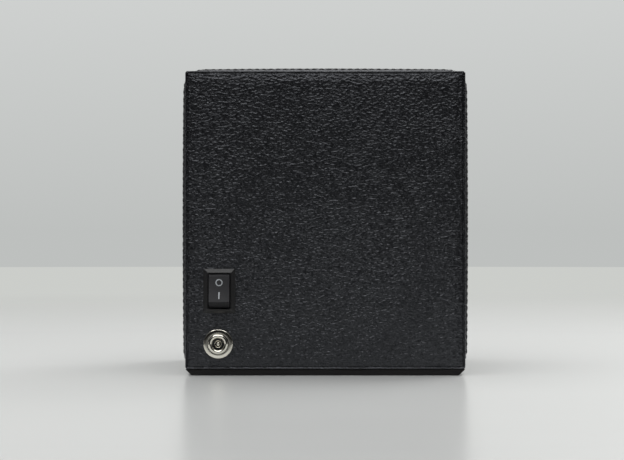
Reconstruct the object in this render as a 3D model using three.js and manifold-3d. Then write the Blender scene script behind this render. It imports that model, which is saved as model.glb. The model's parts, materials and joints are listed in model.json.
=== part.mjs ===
// Single-watch winder: a leather-covered case with a glazed door, a geared drum and a
// sprung watch pillow. Millimetres, +Z up, door towards -Y, rear panel towards +Y.
import * as THREE from 'three';
import { mergeVertices } from 'three/addons/utils/BufferGeometryUtils.js';
import Module from 'manifold-3d';

const wasm = await Module();
wasm.setup();

// ---- Case ----
const CENTRE_Z = 73.5; // middle height of the case, and of the drum
const CASE = { halfWidth: 66.25, halfHeight: 70.5 }; // leather surface, without the pads
const LEATHER = 1.25;
const BOARD = 5;
const CORE = inset(CASE, LEATHER); // outside of the fibreboard
const ROOM = inset(CORE, BOARD); // inside of the fibreboard
const CASE_FRONT = -60;
const BOARD_END = 64; // carcass ends here, the rear board closes it
const REAR_FACE = 72.5;
const EDGE_ROUND = 1.3;
const CORNER = 1.2;
const POST = 9;
const BASE_TOP = CENTRE_Z - CASE.halfHeight;
const BASE_BEVEL = 3.1;

// ---- Padded leather panels ----
const PAD_FRONT = -57;
const PAD_REAR = 70;
const PAD = { edge: 0.75, bow: 0.5, swell: 0.5, corner: 4, ends: 3.2 };

// ---- Door ----
const DOOR_BACK = -61.4;
const DOOR_FACE = -72.5;
const WINDOW = { halfWidth: 48.25, halfHeight: 52.5 };
const REBATE = inset(WINDOW, -3.25);
const GLASS_FRONT = -68.5;
const GLASS_THICKNESS = 2.5;
const PLATE = 0.6; // thickness of hinge leaves and catch plates
const HINGE = { x: -67.6, y: -60.7, knuckle: 1.2, bore: 0.65, pin: 0.5, height: 22, spread: 45 };

// ---- Drum ----
const FACEPLATE_FRONT = -56;
const FACEPLATE = 3;
const OPENING_RADIUS = 50;
const DRUM = { radius: 49.5, wall: 2, front: -52, back: 0, floor: 3, boss: 10, bossEnd: 3 };
const SHAFT_RADIUS = 4;
const SHAFT_END = 28;
const LINING = 1;

// ---- Gear train ----
const MODULE = 1.2;
const PRESSURE_ANGLE = THREE.MathUtils.degToRad(25);
const ADDENDUM = 0.9;
const DEDENDUM = 1.2;
const BACKLASH = 0.24;
const DRUM_TEETH = 50;
const WHEEL_TEETH = 40;
const PINION_TEETH = 12;
const IDLER_DIRECTION = THREE.MathUtils.degToRad(-45); // drum axis to idler axis
const MOTOR_DIRECTION = THREE.MathUtils.degToRad(-150); // idler axis to motor axis
const GEAR_FRONT = 3;
const GEAR_BACK = 8;
const WHEEL_FRONT = 8.5;
const WHEEL_BACK = 11;
const DRUM_AXIS = [0, CENTRE_Z];
const IDLER_AXIS = offset(DRUM_AXIS, IDLER_DIRECTION, meshDistance(DRUM_TEETH, PINION_TEETH));
const MOTOR_AXIS = offset(IDLER_AXIS, MOTOR_DIRECTION, meshDistance(WHEEL_TEETH, PINION_TEETH));

// ---- Drive plate and what it carries ----
const MOUNT_FRONT = 13;
const MOUNT_BACK = 16;
const BUSH = { bore: 4.35, radius: 6.2, flange: 9, flangeFront: 11.5, end: 25 };
const IDLER_PIN_RADIUS = 2;
const GEARBOX = { radius: 12.5, end: 28, screwOffset: 8.5 };
const MOTOR = { radius: 10.5, end: 46, shaft: 1.5 };
const CIRCUIT = { centre: [-35, 107], halfWidth: 17, halfHeight: 18, front: 22, back: 23.6 };

// ---- Rear panel fittings ----
const SWITCH = { x: 50.1, z: 40, bezel: [7.5, 10.5], body: [6.5, 9.5], window: [5.2, 8.35] };
const BEZEL_FACE = REAR_FACE + 1.8;
const BEZEL_RIM = 0.4;
const BEZEL_SLOPE = 1.75;
const SWITCH_BACK = 52;
const SWITCH_POCKET = 10;
const PIVOT = { pin: 1.0, bore: 1.35, pinReach: 1.0, boreReach: 1.3 }; // rocker pins and bores
const ROCKER = { pivotY: REAR_FACE - 0.5, radius: 8, halfWidth: 4.85, valley: 4.2 };
const ROCKER_CREST = THREE.MathUtils.degToRad(38.8); // crest of each half above the pivot line
const ROCKER_TILT = THREE.MathUtils.degToRad(12); // pressed at the upper end
const JACK = { x: 50.6, z: 15, collar: 4.85, nut: 6.95, socket: 2.75, pin: 1.05 };
const JACK_BACK = 50;

// ---- Watch pillow ----
const PILLOW = { halfWidth: 30.6, halfHeight: 21.5 };
const PILLOW_WALL = 2.4;
const PILLOW_BACK = -8.3;
const PILLOW_CORE_FRONT = -26;
const PILLOW_PLATE = { front: -36, back: -33.5 };
const SKIRT_END = -19;
const CUSHION_FRONT = -48;
const CUSHION = { halfWidth: 31, halfHeight: 24 };
const SPRING = { x: 14, radius: 4, wire: 0.45, turns: 5 };
const CRADLE = { arm: 31.2, armWall: 3, halfHeight: 14, back: -4, floor: -8 };

const root = new THREE.Group();
root.name = 'watch_winder';

// ---- Small helpers ----

function inset(size, by) {
  return { halfWidth: size.halfWidth - by, halfHeight: size.halfHeight - by };
}

function offset([x, z], direction, distance) {
  return [x + distance * Math.cos(direction), z + distance * Math.sin(direction)];
}

function meshDistance(teethA, teethB) {
  return (MODULE * (teethA + teethB)) / 2;
}

function add(name, geometry, material) {
  const mesh = new THREE.Mesh(geometry, material);
  mesh.name = name;
  root.add(mesh);
}

function signedVolume(points, triangles) {
  let total = 0;
  for (const [i, j, k] of triangles) {
    const [a, b, c] = [points[i], points[j], points[k]];
    total += a[0] * (b[1] * c[2] - b[2] * c[1]);
    total += a[1] * (b[2] * c[0] - b[0] * c[2]);
    total += a[2] * (b[0] * c[1] - b[1] * c[0]);
  }
  return total;
}

// Indexed geometry whose triangles all face out.
function solid(points, triangles) {
  const outward = signedVolume(points, triangles) > 0;
  const ordered = outward ? triangles : triangles.map(([i, j, k]) => [i, k, j]);
  const geometry = new THREE.BufferGeometry();
  geometry.setAttribute('position', new THREE.Float32BufferAttribute(points.flat(), 3));
  geometry.setIndex(ordered.flat());
  return geometry;
}

// Welds a three.js geometry and drops the triangles that collapse on an axis.
function welded(geometry) {
  const bare = geometry.index ? geometry.toNonIndexed() : geometry.clone();
  bare.deleteAttribute('normal');
  bare.deleteAttribute('uv');
  const merged = mergeVertices(bare, 1e-4);
  const position = merged.attributes.position;
  const points = [];
  for (let i = 0; i < position.count; i += 1) {
    points.push([position.getX(i), position.getY(i), position.getZ(i)]);
  }
  const triangles = [];
  const index = merged.index.array;
  for (let i = 0; i < index.length; i += 3) {
    const [a, b, c] = [index[i], index[i + 1], index[i + 2]];
    if (a !== b && b !== c && c !== a) {
      triangles.push([a, b, c]);
    }
  }
  return solid(points, triangles);
}

function toManifold(geometry) {
  return new wasm.Manifold(
    new wasm.Mesh({
      numProp: 3,
      vertProperties: new Float32Array(geometry.attributes.position.array),
      triVerts: new Uint32Array(geometry.index.array),
    }),
  );
}

function fromManifold(manifold) {
  const mesh = manifold.getMesh();
  const geometry = new THREE.BufferGeometry();
  const positions = new THREE.Float32BufferAttribute(mesh.vertProperties, 3);
  geometry.setAttribute('position', positions);
  geometry.setIndex(Array.from(mesh.triVerts));
  return welded(geometry);
}

function joined(geometries) {
  const [first, ...rest] = geometries.map(toManifold);
  return fromManifold(rest.reduce((sum, next) => sum.add(next), first));
}

function cut(geometry, tools) {
  const rest = tools.map(toManifold);
  return fromManifold(rest.reduce((left, tool) => left.subtract(tool), toManifold(geometry)));
}

// Rounded rectangle as [u, v] points, counter-clockwise, always the same number of points.
function roundedRectangle(halfWidth, halfHeight, radius, edgeSteps = 1) {
  const cornerSteps = 2;
  const corners = [
    [1, 1],
    [-1, 1],
    [-1, -1],
    [1, -1],
  ];
  const points = [];
  corners.forEach(([sideU, sideV], quarter) => {
    const centre = [sideU * (halfWidth - radius), sideV * (halfHeight - radius)];
    for (let step = 0; step <= cornerSteps; step += 1) {
      const angle = ((quarter + step / cornerSteps) * Math.PI) / 2;
      points.push([centre[0] + radius * Math.cos(angle), centre[1] + radius * Math.sin(angle)]);
    }
    const next = corners[(quarter + 1) % 4];
    const nextCentre = [next[0] * (halfWidth - radius), next[1] * (halfHeight - radius)];
    const turn = ((quarter + 1) * Math.PI) / 2;
    const normal = [radius * Math.cos(turn), radius * Math.sin(turn)];
    for (let step = 1; step < edgeSteps; step += 1) {
      const t = step / edgeSteps;
      points.push([
        centre[0] + t * (nextCentre[0] - centre[0]) + normal[0],
        centre[1] + t * (nextCentre[1] - centre[1]) + normal[1],
      ]);
    }
  });
  return points;
}

// One outline across the case, at depth y.
function ring([x, z], y, size, radius = CORNER) {
  const outline = roundedRectangle(size.halfWidth, size.halfHeight, radius);
  return outline.map(([u, v]) => [x + u, y, z + v]);
}

function caseRing(y, size, radius = CORNER) {
  return ring(DRUM_AXIS, y, size, radius);
}

// Skin through a row of outlines: capped at both ends, or closed on itself as a frame.
function loft(rings, isFrame = false) {
  const count = rings[0].length;
  const points = rings.flat();
  const triangles = [];
  const spans = isFrame ? rings.length : rings.length - 1;
  for (let span = 0; span < spans; span += 1) {
    const near = span * count;
    const far = ((span + 1) % rings.length) * count;
    for (let i = 0; i < count; i += 1) {
      const j = (i + 1) % count;
      triangles.push([near + i, near + j, far + j], [near + i, far + j, far + i]);
    }
  }
  if (!isFrame) {
    capEnd(points, triangles, 0, count, true);
    capEnd(points, triangles, (rings.length - 1) * count, count, false);
  }
  return solid(points, triangles);
}

function capEnd(points, triangles, start, count, isFirst) {
  const centre = [0, 1, 2].map((axis) => {
    let sum = 0;
    for (let i = 0; i < count; i += 1) {
      sum += points[start + i][axis];
    }
    return sum / count;
  });
  points.push(centre);
  const middle = points.length - 1;
  for (let i = 0; i < count; i += 1) {
    const a = start + i;
    const b = start + ((i + 1) % count);
    triangles.push(isFirst ? [middle, b, a] : [middle, a, b]);
  }
}

// Box from its low and high corners.
function block(low, high) {
  const size = high.map((value, axis) => value - low[axis]);
  const geometry = new THREE.BoxGeometry(...size);
  geometry.translate(...low.map((value, axis) => value + size[axis] / 2));
  return welded(geometry);
}

// Outline in the XZ plane with holes, given thickness from y0 to y1.
function plate(outline, holes, y0, y1) {
  const shape = new THREE.Shape(outline.map(([x, z]) => new THREE.Vector2(x, z)));
  holes.forEach((hole) => {
    shape.holes.push(new THREE.Path(hole.map(([x, z]) => new THREE.Vector2(x, z))));
  });
  const geometry = new THREE.ExtrudeGeometry(shape, { depth: y1 - y0, bevelEnabled: false });
  geometry.rotateX(Math.PI / 2);
  geometry.translate(0, y1, 0);
  return welded(geometry);
}

function circle([x, z], radius, segments = 20) {
  const points = [];
  for (let i = 0; i < segments; i += 1) {
    points.push(offset([x, z], (i * 2 * Math.PI) / segments, radius));
  }
  return points;
}

// Turned piece about an axis along Y: profile of [radius, y], closed unless it meets the axis.
function turned([x, z], profile, segments = 20) {
  const onAxis = profile[0][0] === 0;
  const closed = onAxis ? profile : [...profile, profile[0]];
  const points = closed.map(([radius, y]) => new THREE.Vector2(radius, y));
  const geometry = new THREE.LatheGeometry(points, segments);
  geometry.translate(x, 0, z);
  return welded(geometry);
}

function rod(axis, radius, y0, y1, segments = 20) {
  return turned(axis, [[0, y0], [radius, y0], [radius, y1], [0, y1]], segments);
}

// Round bar sideways or upright, turned from the Y direction.
function barAlong(axisName, centre, radius, length, segments = 12) {
  const geometry = rod([0, 0], radius, -length / 2, length / 2, segments);
  if (axisName === 'x') {
    geometry.rotateZ(Math.PI / 2);
  }
  if (axisName === 'z') {
    geometry.rotateX(Math.PI / 2);
  }
  geometry.translate(...centre);
  return welded(geometry);
}

// Pan-head screw seated at y, its shank running towards `direction`.
function screw(axis, seat, direction, shank, length) {
  const head = shank * 1.8;
  const height = shank * 1.1;
  const profile = [
    [0, seat - direction * height],
    [head * 0.7, seat - direction * height],
    [head, seat - direction * height * 0.4],
    [head, seat],
    [shank, seat],
    [shank, seat + direction * length],
    [0, seat + direction * length],
  ];
  return turned(axis, profile, 10);
}

function paint(colour, roughness, metalness = 0) {
  return new THREE.MeshStandardMaterial({ color: colour, roughness, metalness });
}

const leather = () => paint(0x28292b, 0.55);
const fibreboard = () => paint(0x8a6a4a, 0.85);
const suede = () => paint(0x3b3a3c, 0.95);
const blackPlastic = () => paint(0x1c1c1e, 0.45);
const whitePlastic = () => paint(0xd8d6cf, 0.5);
const nickel = () => paint(0xc2bfb4, 0.2, 1);
const steel = () => paint(0x9a9c9f, 0.35, 1);
const brass = () => paint(0xb99a5b, 0.35, 1);
const cable = () => paint(0x222224, 0.6);

// ---- Case ----

function cornerPosts() {
  const signs = [
    [1, 1],
    [-1, 1],
    [-1, -1],
    [1, -1],
  ];
  return signs.map(([sideX, sideZ]) => [
    sideX * (ROOM.halfWidth - POST / 2),
    CENTRE_Z + sideZ * (ROOM.halfHeight - POST / 2),
  ]);
}

function addCarcass() {
  const postFront = FACEPLATE_FRONT + FACEPLATE;
  const tube = loft(
    [
      caseRing(CASE_FRONT, CORE),
      caseRing(BOARD_END, CORE),
      caseRing(BOARD_END, ROOM),
      caseRing(CASE_FRONT, ROOM),
    ],
    true,
  );
  const bury = 1;
  const posts = cornerPosts().map(([x, z]) => {
    const half = POST / 2;
    const outX = Math.sign(x) * bury;
    const outZ = Math.sign(z - CENTRE_Z) * bury;
    return block(
      [x - half + Math.min(outX, 0), postFront, z - half + Math.min(outZ, 0)],
      [x + half + Math.max(outX, 0), MOUNT_FRONT, z + half + Math.max(outZ, 0)],
    );
  });
  const pilots = cornerPosts().map((axis) => rod(axis, 1.8, MOUNT_FRONT - 12, MOUNT_FRONT + 1, 10));
  add('carcass_shell', cut(joined([tube, ...posts]), pilots), fibreboard());
}

function addWrap() {
  const wrap = loft(
    [
      caseRing(CASE_FRONT, CASE),
      caseRing(BOARD_END, CASE),
      caseRing(BOARD_END, CORE),
      caseRing(CASE_FRONT, CORE),
    ],
    true,
  );
  add('case_wrap', wrap, leather());
}

// Openings through the rear board and its leather for the switch body and the jack.
function rearOpenings() {
  const [halfWidth, halfHeight] = SWITCH.body.map((half) => half + 0.2);
  const low = [SWITCH.x - halfWidth, BOARD_END - 1, SWITCH.z - halfHeight];
  const high = [SWITCH.x + halfWidth, REAR_FACE + 1, SWITCH.z + halfHeight];
  const jackHole = rod([JACK.x, JACK.z], JACK.collar + 0.25, BOARD_END - 1, REAR_FACE + 1, 28);
  return [block(low, high), jackHole];
}

function addRear() {
  const skinBack = REAR_FACE - LEATHER;
  const board = loft([caseRing(BOARD_END, CORE), caseRing(skinBack, CORE)]);
  const skin = loft([
    caseRing(skinBack, CORE),
    caseRing(BOARD_END, CORE),
    caseRing(BOARD_END, CASE),
    caseRing(REAR_FACE - EDGE_ROUND, CASE),
    caseRing(REAR_FACE - EDGE_ROUND * 0.3, inset(CASE, EDGE_ROUND * 0.3)),
    caseRing(REAR_FACE, inset(CASE, EDGE_ROUND)),
  ]);
  add('rear_board', cut(board, rearOpenings()), fibreboard());
  add('rear_cover', cut(skin, rearOpenings()), leather());
}

// Padded panel lying in the plane of u and v, rising along h, its edge bowed along u.
function padRing(halfLength, halfWidth, by, rise) {
  const radius = Math.max(PAD.corner - by, 0.6);
  const outline = roundedRectangle(halfLength - by, halfWidth - by, radius, 6);
  return outline.map(([u, v]) => {
    const bow = 1 - (u / halfLength) ** 2;
    return [u, v, rise(PAD.edge + PAD.bow * bow, bow)];
  });
}

function pad(halfLength, halfWidth) {
  return loft([
    padRing(halfLength, halfWidth, 0, () => 0),
    padRing(halfLength, halfWidth, 0, (height) => height * 0.55),
    padRing(halfLength, halfWidth, 0.5, (height) => height),
    padRing(halfLength, halfWidth, 7, (height) => height),
    padRing(halfLength, halfWidth, 26, (height, bow) => height + PAD.swell * bow),
  ]);
}

function placed(geometry, u, v, h, origin) {
  const matrix = new THREE.Matrix4().makeBasis(
    new THREE.Vector3(...u),
    new THREE.Vector3(...v),
    new THREE.Vector3(...h),
  );
  geometry.applyMatrix4(matrix);
  geometry.translate(...origin);
  return welded(geometry);
}

function addPads() {
  const middleY = (PAD_FRONT + PAD_REAR) / 2;
  const halfDepth = (PAD_REAR - PAD_FRONT) / 2;
  const side = (direction) => placed(
    pad(CASE.halfHeight - PAD.ends, halfDepth),
    [0, 0, 1],
    [0, 1, 0],
    [direction, 0, 0],
    [direction * CASE.halfWidth, middleY, CENTRE_Z],
  );
  const top = placed(
    pad(CASE.halfWidth - PAD.ends, halfDepth),
    [1, 0, 0],
    [0, 1, 0],
    [0, 0, 1],
    [0, middleY, CENTRE_Z + CASE.halfHeight],
  );
  add('side_panel_left', side(-1), leather());
  add('side_panel_right', side(1), leather());
  add('top_panel', top, leather());
}

function addBase() {
  const outline = [
    [-CASE.halfWidth, BASE_TOP],
    [CASE.halfWidth, BASE_TOP],
    [CASE.halfWidth - BASE_BEVEL, 0],
    [-CASE.halfWidth + BASE_BEVEL, 0],
  ];
  add('base_plate', plate(outline, [], CASE_FRONT, REAR_FACE - 0.8), blackPlastic());
}

function addFaceplate() {
  const gap = 0.25;
  const size = inset(ROOM, gap);
  const outline = roundedRectangle(size.halfWidth, size.halfHeight, CORNER);
  const face = plate(
    outline.map(([x, z]) => [x, z + CENTRE_Z]),
    [circle(DRUM_AXIS, OPENING_RADIUS, 40)],
    FACEPLATE_FRONT,
    FACEPLATE_FRONT + FACEPLATE,
  );
  const width = 3.4;
  const height = 1.5;
  const trim = [
    [OPENING_RADIUS + 0.2, FACEPLATE_FRONT],
    [OPENING_RADIUS + 0.2, FACEPLATE_FRONT - height],
    [OPENING_RADIUS + width * 0.5, FACEPLATE_FRONT - height * 0.9],
    [OPENING_RADIUS + width, FACEPLATE_FRONT - height * 0.4],
    [OPENING_RADIUS + width, FACEPLATE_FRONT],
  ];
  add('front_faceplate', face, leather());
  add('trim_ring', turned(DRUM_AXIS, trim, 40), nickel());
}

// ---- Door ----

function hingeHeights() {
  return { upper: CENTRE_Z + HINGE.spread, lower: CENTRE_Z - HINGE.spread };
}

// Leaf between two depths, carrying knuckles over the given [low, high] height spans.
function hingeLeaf(z, y0, y1, knuckles) {
  const inner = HINGE.x + HINGE.knuckle + 0.15;
  const half = HINGE.height / 2;
  const leaf = block([inner, y0, z - half], [inner + 6.5, y1, z + half]);
  const pieces = knuckles.flatMap(([low, high]) => [
    block([HINGE.x, y0, z + low], [inner + 0.5, y1, z + high]),
    barAlong('z', [HINGE.x, HINGE.y, z + (low + high) / 2], HINGE.knuckle, high - low, 14),
  ]);
  const bore = barAlong('z', [HINGE.x, HINGE.y, z], HINGE.bore, HINGE.height + 2, 14);
  return cut(joined([leaf, ...pieces]), [bore]);
}

function addHinge(place, z) {
  const half = HINGE.height / 2;
  const split = 3.8;
  const play = 0.3;
  const caseKnuckles = [
    [-half, -split - play],
    [split + play, half],
  ];
  const caseLeaf = hingeLeaf(z, CASE_FRONT - PLATE, CASE_FRONT, caseKnuckles);
  const doorLeaf = hingeLeaf(z, DOOR_BACK, DOOR_BACK + PLATE, [[-split, split]]);
  const shank = barAlong('z', [HINGE.x, HINGE.y, z], HINGE.pin, HINGE.height + 0.4, 10);
  const headZ = z + half + 0.6;
  const head = barAlong('z', [HINGE.x, HINGE.y, headZ], HINGE.knuckle - 0.2, 0.9, 10);
  add(`hinge_case_leaf_${place}`, caseLeaf, brass());
  add(`hinge_door_leaf_${place}`, doorLeaf, brass());
  add(`hinge_pin_${place}`, joined([shank, head]), brass());
}

function addDoor() {
  const soft = 0.3;
  const frame = loft(
    [
      caseRing(DOOR_BACK, CASE),
      caseRing(DOOR_FACE + EDGE_ROUND, CASE),
      caseRing(DOOR_FACE + EDGE_ROUND * soft, inset(CASE, EDGE_ROUND * soft)),
      caseRing(DOOR_FACE, inset(CASE, EDGE_ROUND)),
      caseRing(DOOR_FACE, inset(WINDOW, -EDGE_ROUND)),
      caseRing(DOOR_FACE + EDGE_ROUND * soft, inset(WINDOW, -EDGE_ROUND * soft)),
      caseRing(DOOR_FACE + EDGE_ROUND, WINDOW),
      caseRing(GLASS_FRONT, WINDOW),
      caseRing(GLASS_FRONT, REBATE),
      caseRing(DOOR_BACK, REBATE),
    ],
    true,
  );
  const pane = inset(REBATE, 0.3);
  const glass = loft([
    caseRing(GLASS_FRONT, pane),
    caseRing(GLASS_FRONT + GLASS_THICKNESS, pane),
  ]);
  add('door_frame', frame, leather());
  add('door_glass', glass, new THREE.MeshStandardMaterial({
    color: 0xdfe8e6,
    roughness: 0.03,
    metalness: 0,
    transparent: true,
    opacity: 0.25,
  }));
}

function addDoorPull() {
  const x = (WINDOW.halfWidth + CASE.halfWidth) / 2;
  const reach = 5;
  const profile = [
    [0, DOOR_FACE],
    [2.2, DOOR_FACE],
    [2.2, DOOR_FACE - reach * 0.3],
    [4, DOOR_FACE - reach * 0.5],
    [4, DOOR_FACE - reach * 0.85],
    [3.3, DOOR_FACE - reach],
    [0, DOOR_FACE - reach],
  ];
  add('door_pull', turned([x, CENTRE_Z], profile, 24), nickel());
}

function addCatch() {
  const x = CORE.halfWidth - BOARD / 2;
  const half = [2, 10];
  const low = (y) => [x - half[0], y, CENTRE_Z - half[1]];
  const high = (y) => [x + half[0], y, CENTRE_Z + half[1]];
  add('door_magnet', block(low(DOOR_BACK), high(DOOR_BACK + PLATE)), steel());
  add('keeper_plate', block(low(CASE_FRONT - PLATE), high(CASE_FRONT)), steel());
}

// ---- Drum ----

function addDrum() {
  const inner = DRUM.radius - DRUM.wall;
  const socket = SHAFT_RADIUS + 0.1;
  const cup = [
    [0, DRUM.back + 0.5],
    [socket, DRUM.back + 0.5],
    [socket, DRUM.bossEnd],
    [DRUM.boss, DRUM.bossEnd],
    [DRUM.boss, DRUM.back],
    [DRUM.radius, DRUM.back],
    [DRUM.radius, DRUM.front],
    [inner, DRUM.front],
    [inner, DRUM.back - DRUM.floor],
    [0, DRUM.back - DRUM.floor],
  ];
  const floor = DRUM.back - DRUM.floor;
  const outside = inner - 0.2;
  const lining = [
    [0, floor],
    [outside, floor],
    [outside, DRUM.front + 1],
    [outside - LINING, DRUM.front + 1],
    [outside - LINING, floor - LINING],
    [0, floor - LINING],
  ];
  add('drum_cup', turned(DRUM_AXIS, cup, 40), blackPlastic());
  add('drum_lining', turned(DRUM_AXIS, lining, 40), suede());
  add('drum_shaft', rod(DRUM_AXIS, SHAFT_RADIUS, DRUM.back + 0.5, SHAFT_END), steel());
}

// Retaining clip: a flat ring with a gap, round the end of the drum shaft.
function addShaftClip() {
  const steps = 14;
  const gap = 0.6;
  const arc = (radius, from, to) => {
    const points = [];
    for (let i = 0; i <= steps; i += 1) {
      points.push(offset(DRUM_AXIS, from + ((to - from) * i) / steps, radius));
    }
    return points;
  };
  const outline = [
    ...arc(SHAFT_RADIUS + 2.6, gap, 2 * Math.PI - gap),
    ...arc(SHAFT_RADIUS + 0.15, 2 * Math.PI - gap, gap),
  ];
  add('shaft_clip', plate(outline, [], BUSH.end + 0.5, BUSH.end + 1.5), steel());
}

// ---- Gears ----

// Half the angle a tooth fills at a radius, on an involute flank.
function toothHalfAngle(teeth, radius) {
  const pitch = (MODULE * teeth) / 2;
  const base = pitch * Math.cos(PRESSURE_ANGLE);
  const involute = (angle) => Math.tan(angle) - angle;
  const there = Math.acos(Math.min(1, base / Math.max(radius, base)));
  const atPitch = Math.PI / (2 * teeth) - BACKLASH / (4 * pitch);
  return atPitch + involute(PRESSURE_ANGLE) - involute(there);
}

// Gear outline with the middle of one tooth pointing along `phase`.
function gearOutline([x, z], teeth, phase) {
  const pitch = (MODULE * teeth) / 2;
  const rootRadius = pitch - DEDENDUM * MODULE;
  const tip = pitch + ADDENDUM * MODULE;
  const base = pitch * Math.cos(PRESSURE_ANGLE);
  const radii = base > rootRadius ? [rootRadius, base, pitch, tip] : [rootRadius, tip];
  const points = [];
  for (let tooth = 0; tooth < teeth; tooth += 1) {
    const middle = phase + (tooth * 2 * Math.PI) / teeth;
    radii.forEach((radius) => {
      points.push(offset([x, z], middle - toothHalfAngle(teeth, radius), radius));
    });
    [...radii].reverse().forEach((radius) => {
      points.push(offset([x, z], middle + toothHalfAngle(teeth, radius), radius));
    });
  }
  return points;
}

function gear(axis, teeth, phase, bore, y0, y1) {
  return plate(gearOutline(axis, teeth, phase), [circle(axis, bore)], y0, y1);
}

// A pinion turned so that a gap faces the tooth of the wheel that drives it.
function gapPhase(direction) {
  return direction + Math.PI + Math.PI / PINION_TEETH;
}

function addGears() {
  const drumBore = SHAFT_RADIUS + 0.15;
  const idlerBore = IDLER_PIN_RADIUS + 0.15;
  const drumGear = gear(
    DRUM_AXIS, DRUM_TEETH, IDLER_DIRECTION, drumBore, GEAR_FRONT, GEAR_BACK,
  );
  const idlerPinion = gear(
    IDLER_AXIS, PINION_TEETH, gapPhase(IDLER_DIRECTION), idlerBore, GEAR_FRONT, WHEEL_FRONT,
  );
  const idlerWheel = gear(
    IDLER_AXIS, WHEEL_TEETH, MOTOR_DIRECTION, idlerBore, WHEEL_FRONT, WHEEL_BACK,
  );
  const motorPinion = gear(
    MOTOR_AXIS, PINION_TEETH, gapPhase(MOTOR_DIRECTION), MOTOR.shaft + 0.12,
    WHEEL_FRONT - 0.3, WHEEL_BACK + 0.3,
  );
  const hub = plate(
    circle(IDLER_AXIS, 4), [circle(IDLER_AXIS, idlerBore)], WHEEL_BACK, MOUNT_FRONT - 0.3,
  );
  add('drum_gear', drumGear, whitePlastic());
  add('idler_gear', joined([idlerPinion, idlerWheel, hub]), whitePlastic());
  add('motor_pinion', motorPinion, brass());
}

// Shoulder screw the idler turns on, its head in front of the pinion.
function addIdlerPin() {
  const head = GEAR_FRONT - 0.3;
  const profile = [
    [0, head - 1.3],
    [IDLER_PIN_RADIUS + 1.4, head - 1.3],
    [IDLER_PIN_RADIUS + 1.4, head],
    [IDLER_PIN_RADIUS, head],
    [IDLER_PIN_RADIUS, MOUNT_BACK + 1],
    [0, MOUNT_BACK + 1],
  ];
  add('idler_pin', turned(IDLER_AXIS, profile), steel());
}

// ---- Drive plate ----

function motorScrewAxes() {
  return [-1, 1].map((side) => [MOTOR_AXIS[0] + side * GEARBOX.screwOffset, MOTOR_AXIS[1]]);
}

function addMountPlate() {
  const size = inset(ROOM, 0.3);
  const outline = roundedRectangle(size.halfWidth, size.halfHeight, CORNER);
  const holes = [
    circle(DRUM_AXIS, BUSH.radius + 0.2),
    circle(IDLER_AXIS, IDLER_PIN_RADIUS + 0.2),
    circle(MOTOR_AXIS, MOTOR.shaft + 2.5),
    ...cornerPosts().map((axis) => circle(axis, 1.8, 10)),
    ...motorScrewAxes().map((axis) => circle(axis, 1.4, 10)),
  ];
  const shifted = outline.map(([x, z]) => [x, z + CENTRE_Z]);
  add('mount_plate', plate(shifted, holes, MOUNT_FRONT, MOUNT_BACK), steel());
  cornerPosts().forEach((axis, i) => {
    add(`mount_screw_${i + 1}`, screw(axis, MOUNT_BACK, -1, 1.5, 11), steel());
  });
}

function addBush() {
  const profile = [
    [BUSH.bore, BUSH.flangeFront],
    [BUSH.flange, BUSH.flangeFront],
    [BUSH.flange, MOUNT_FRONT],
    [BUSH.radius, MOUNT_FRONT],
    [BUSH.radius, BUSH.end],
    [BUSH.bore, BUSH.end],
  ];
  add('shaft_bush', turned(DRUM_AXIS, profile), brass());
}

function addMotor() {
  const seat = MOUNT_FRONT;
  const shaftHole = MOTOR.shaft + 0.4;
  const housing = turned(
    MOTOR_AXIS,
    [
      [shaftHole, MOUNT_BACK],
      [GEARBOX.radius, MOUNT_BACK],
      [GEARBOX.radius, GEARBOX.end],
      [shaftHole, GEARBOX.end],
    ],
    24,
  );
  const pilots = motorScrewAxes().map((axis) => rod(axis, 1.35, MOUNT_BACK - 1, 21, 10));
  const can = [
    [0, GEARBOX.end],
    [MOTOR.radius, GEARBOX.end],
    [MOTOR.radius, MOTOR.end - 1],
    [MOTOR.radius - 1, MOTOR.end],
    [4, MOTOR.end],
    [4, MOTOR.end + 2],
    [0, MOTOR.end + 2],
  ];
  add('gearbox_housing', cut(housing, pilots), blackPlastic());
  add('motor_can', turned(MOTOR_AXIS, can, 24), steel());
  add('motor_shaft', rod(MOTOR_AXIS, MOTOR.shaft, WHEEL_FRONT - 0.8, GEARBOX.end - 1, 16), steel());
  motorScrewAxes().forEach((axis, i) => {
    add(`motor_screw_${i + 1}`, screw(axis, seat, 1, 1.1, 7), steel());
  });
}

// ---- Control board ----

function standoffAxes() {
  const [x, z] = CIRCUIT.centre;
  const margin = 3.5;
  return [
    [x - CIRCUIT.halfWidth + margin, z + CIRCUIT.halfHeight - margin],
    [x + CIRCUIT.halfWidth - margin, z - CIRCUIT.halfHeight + margin],
  ];
}

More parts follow.
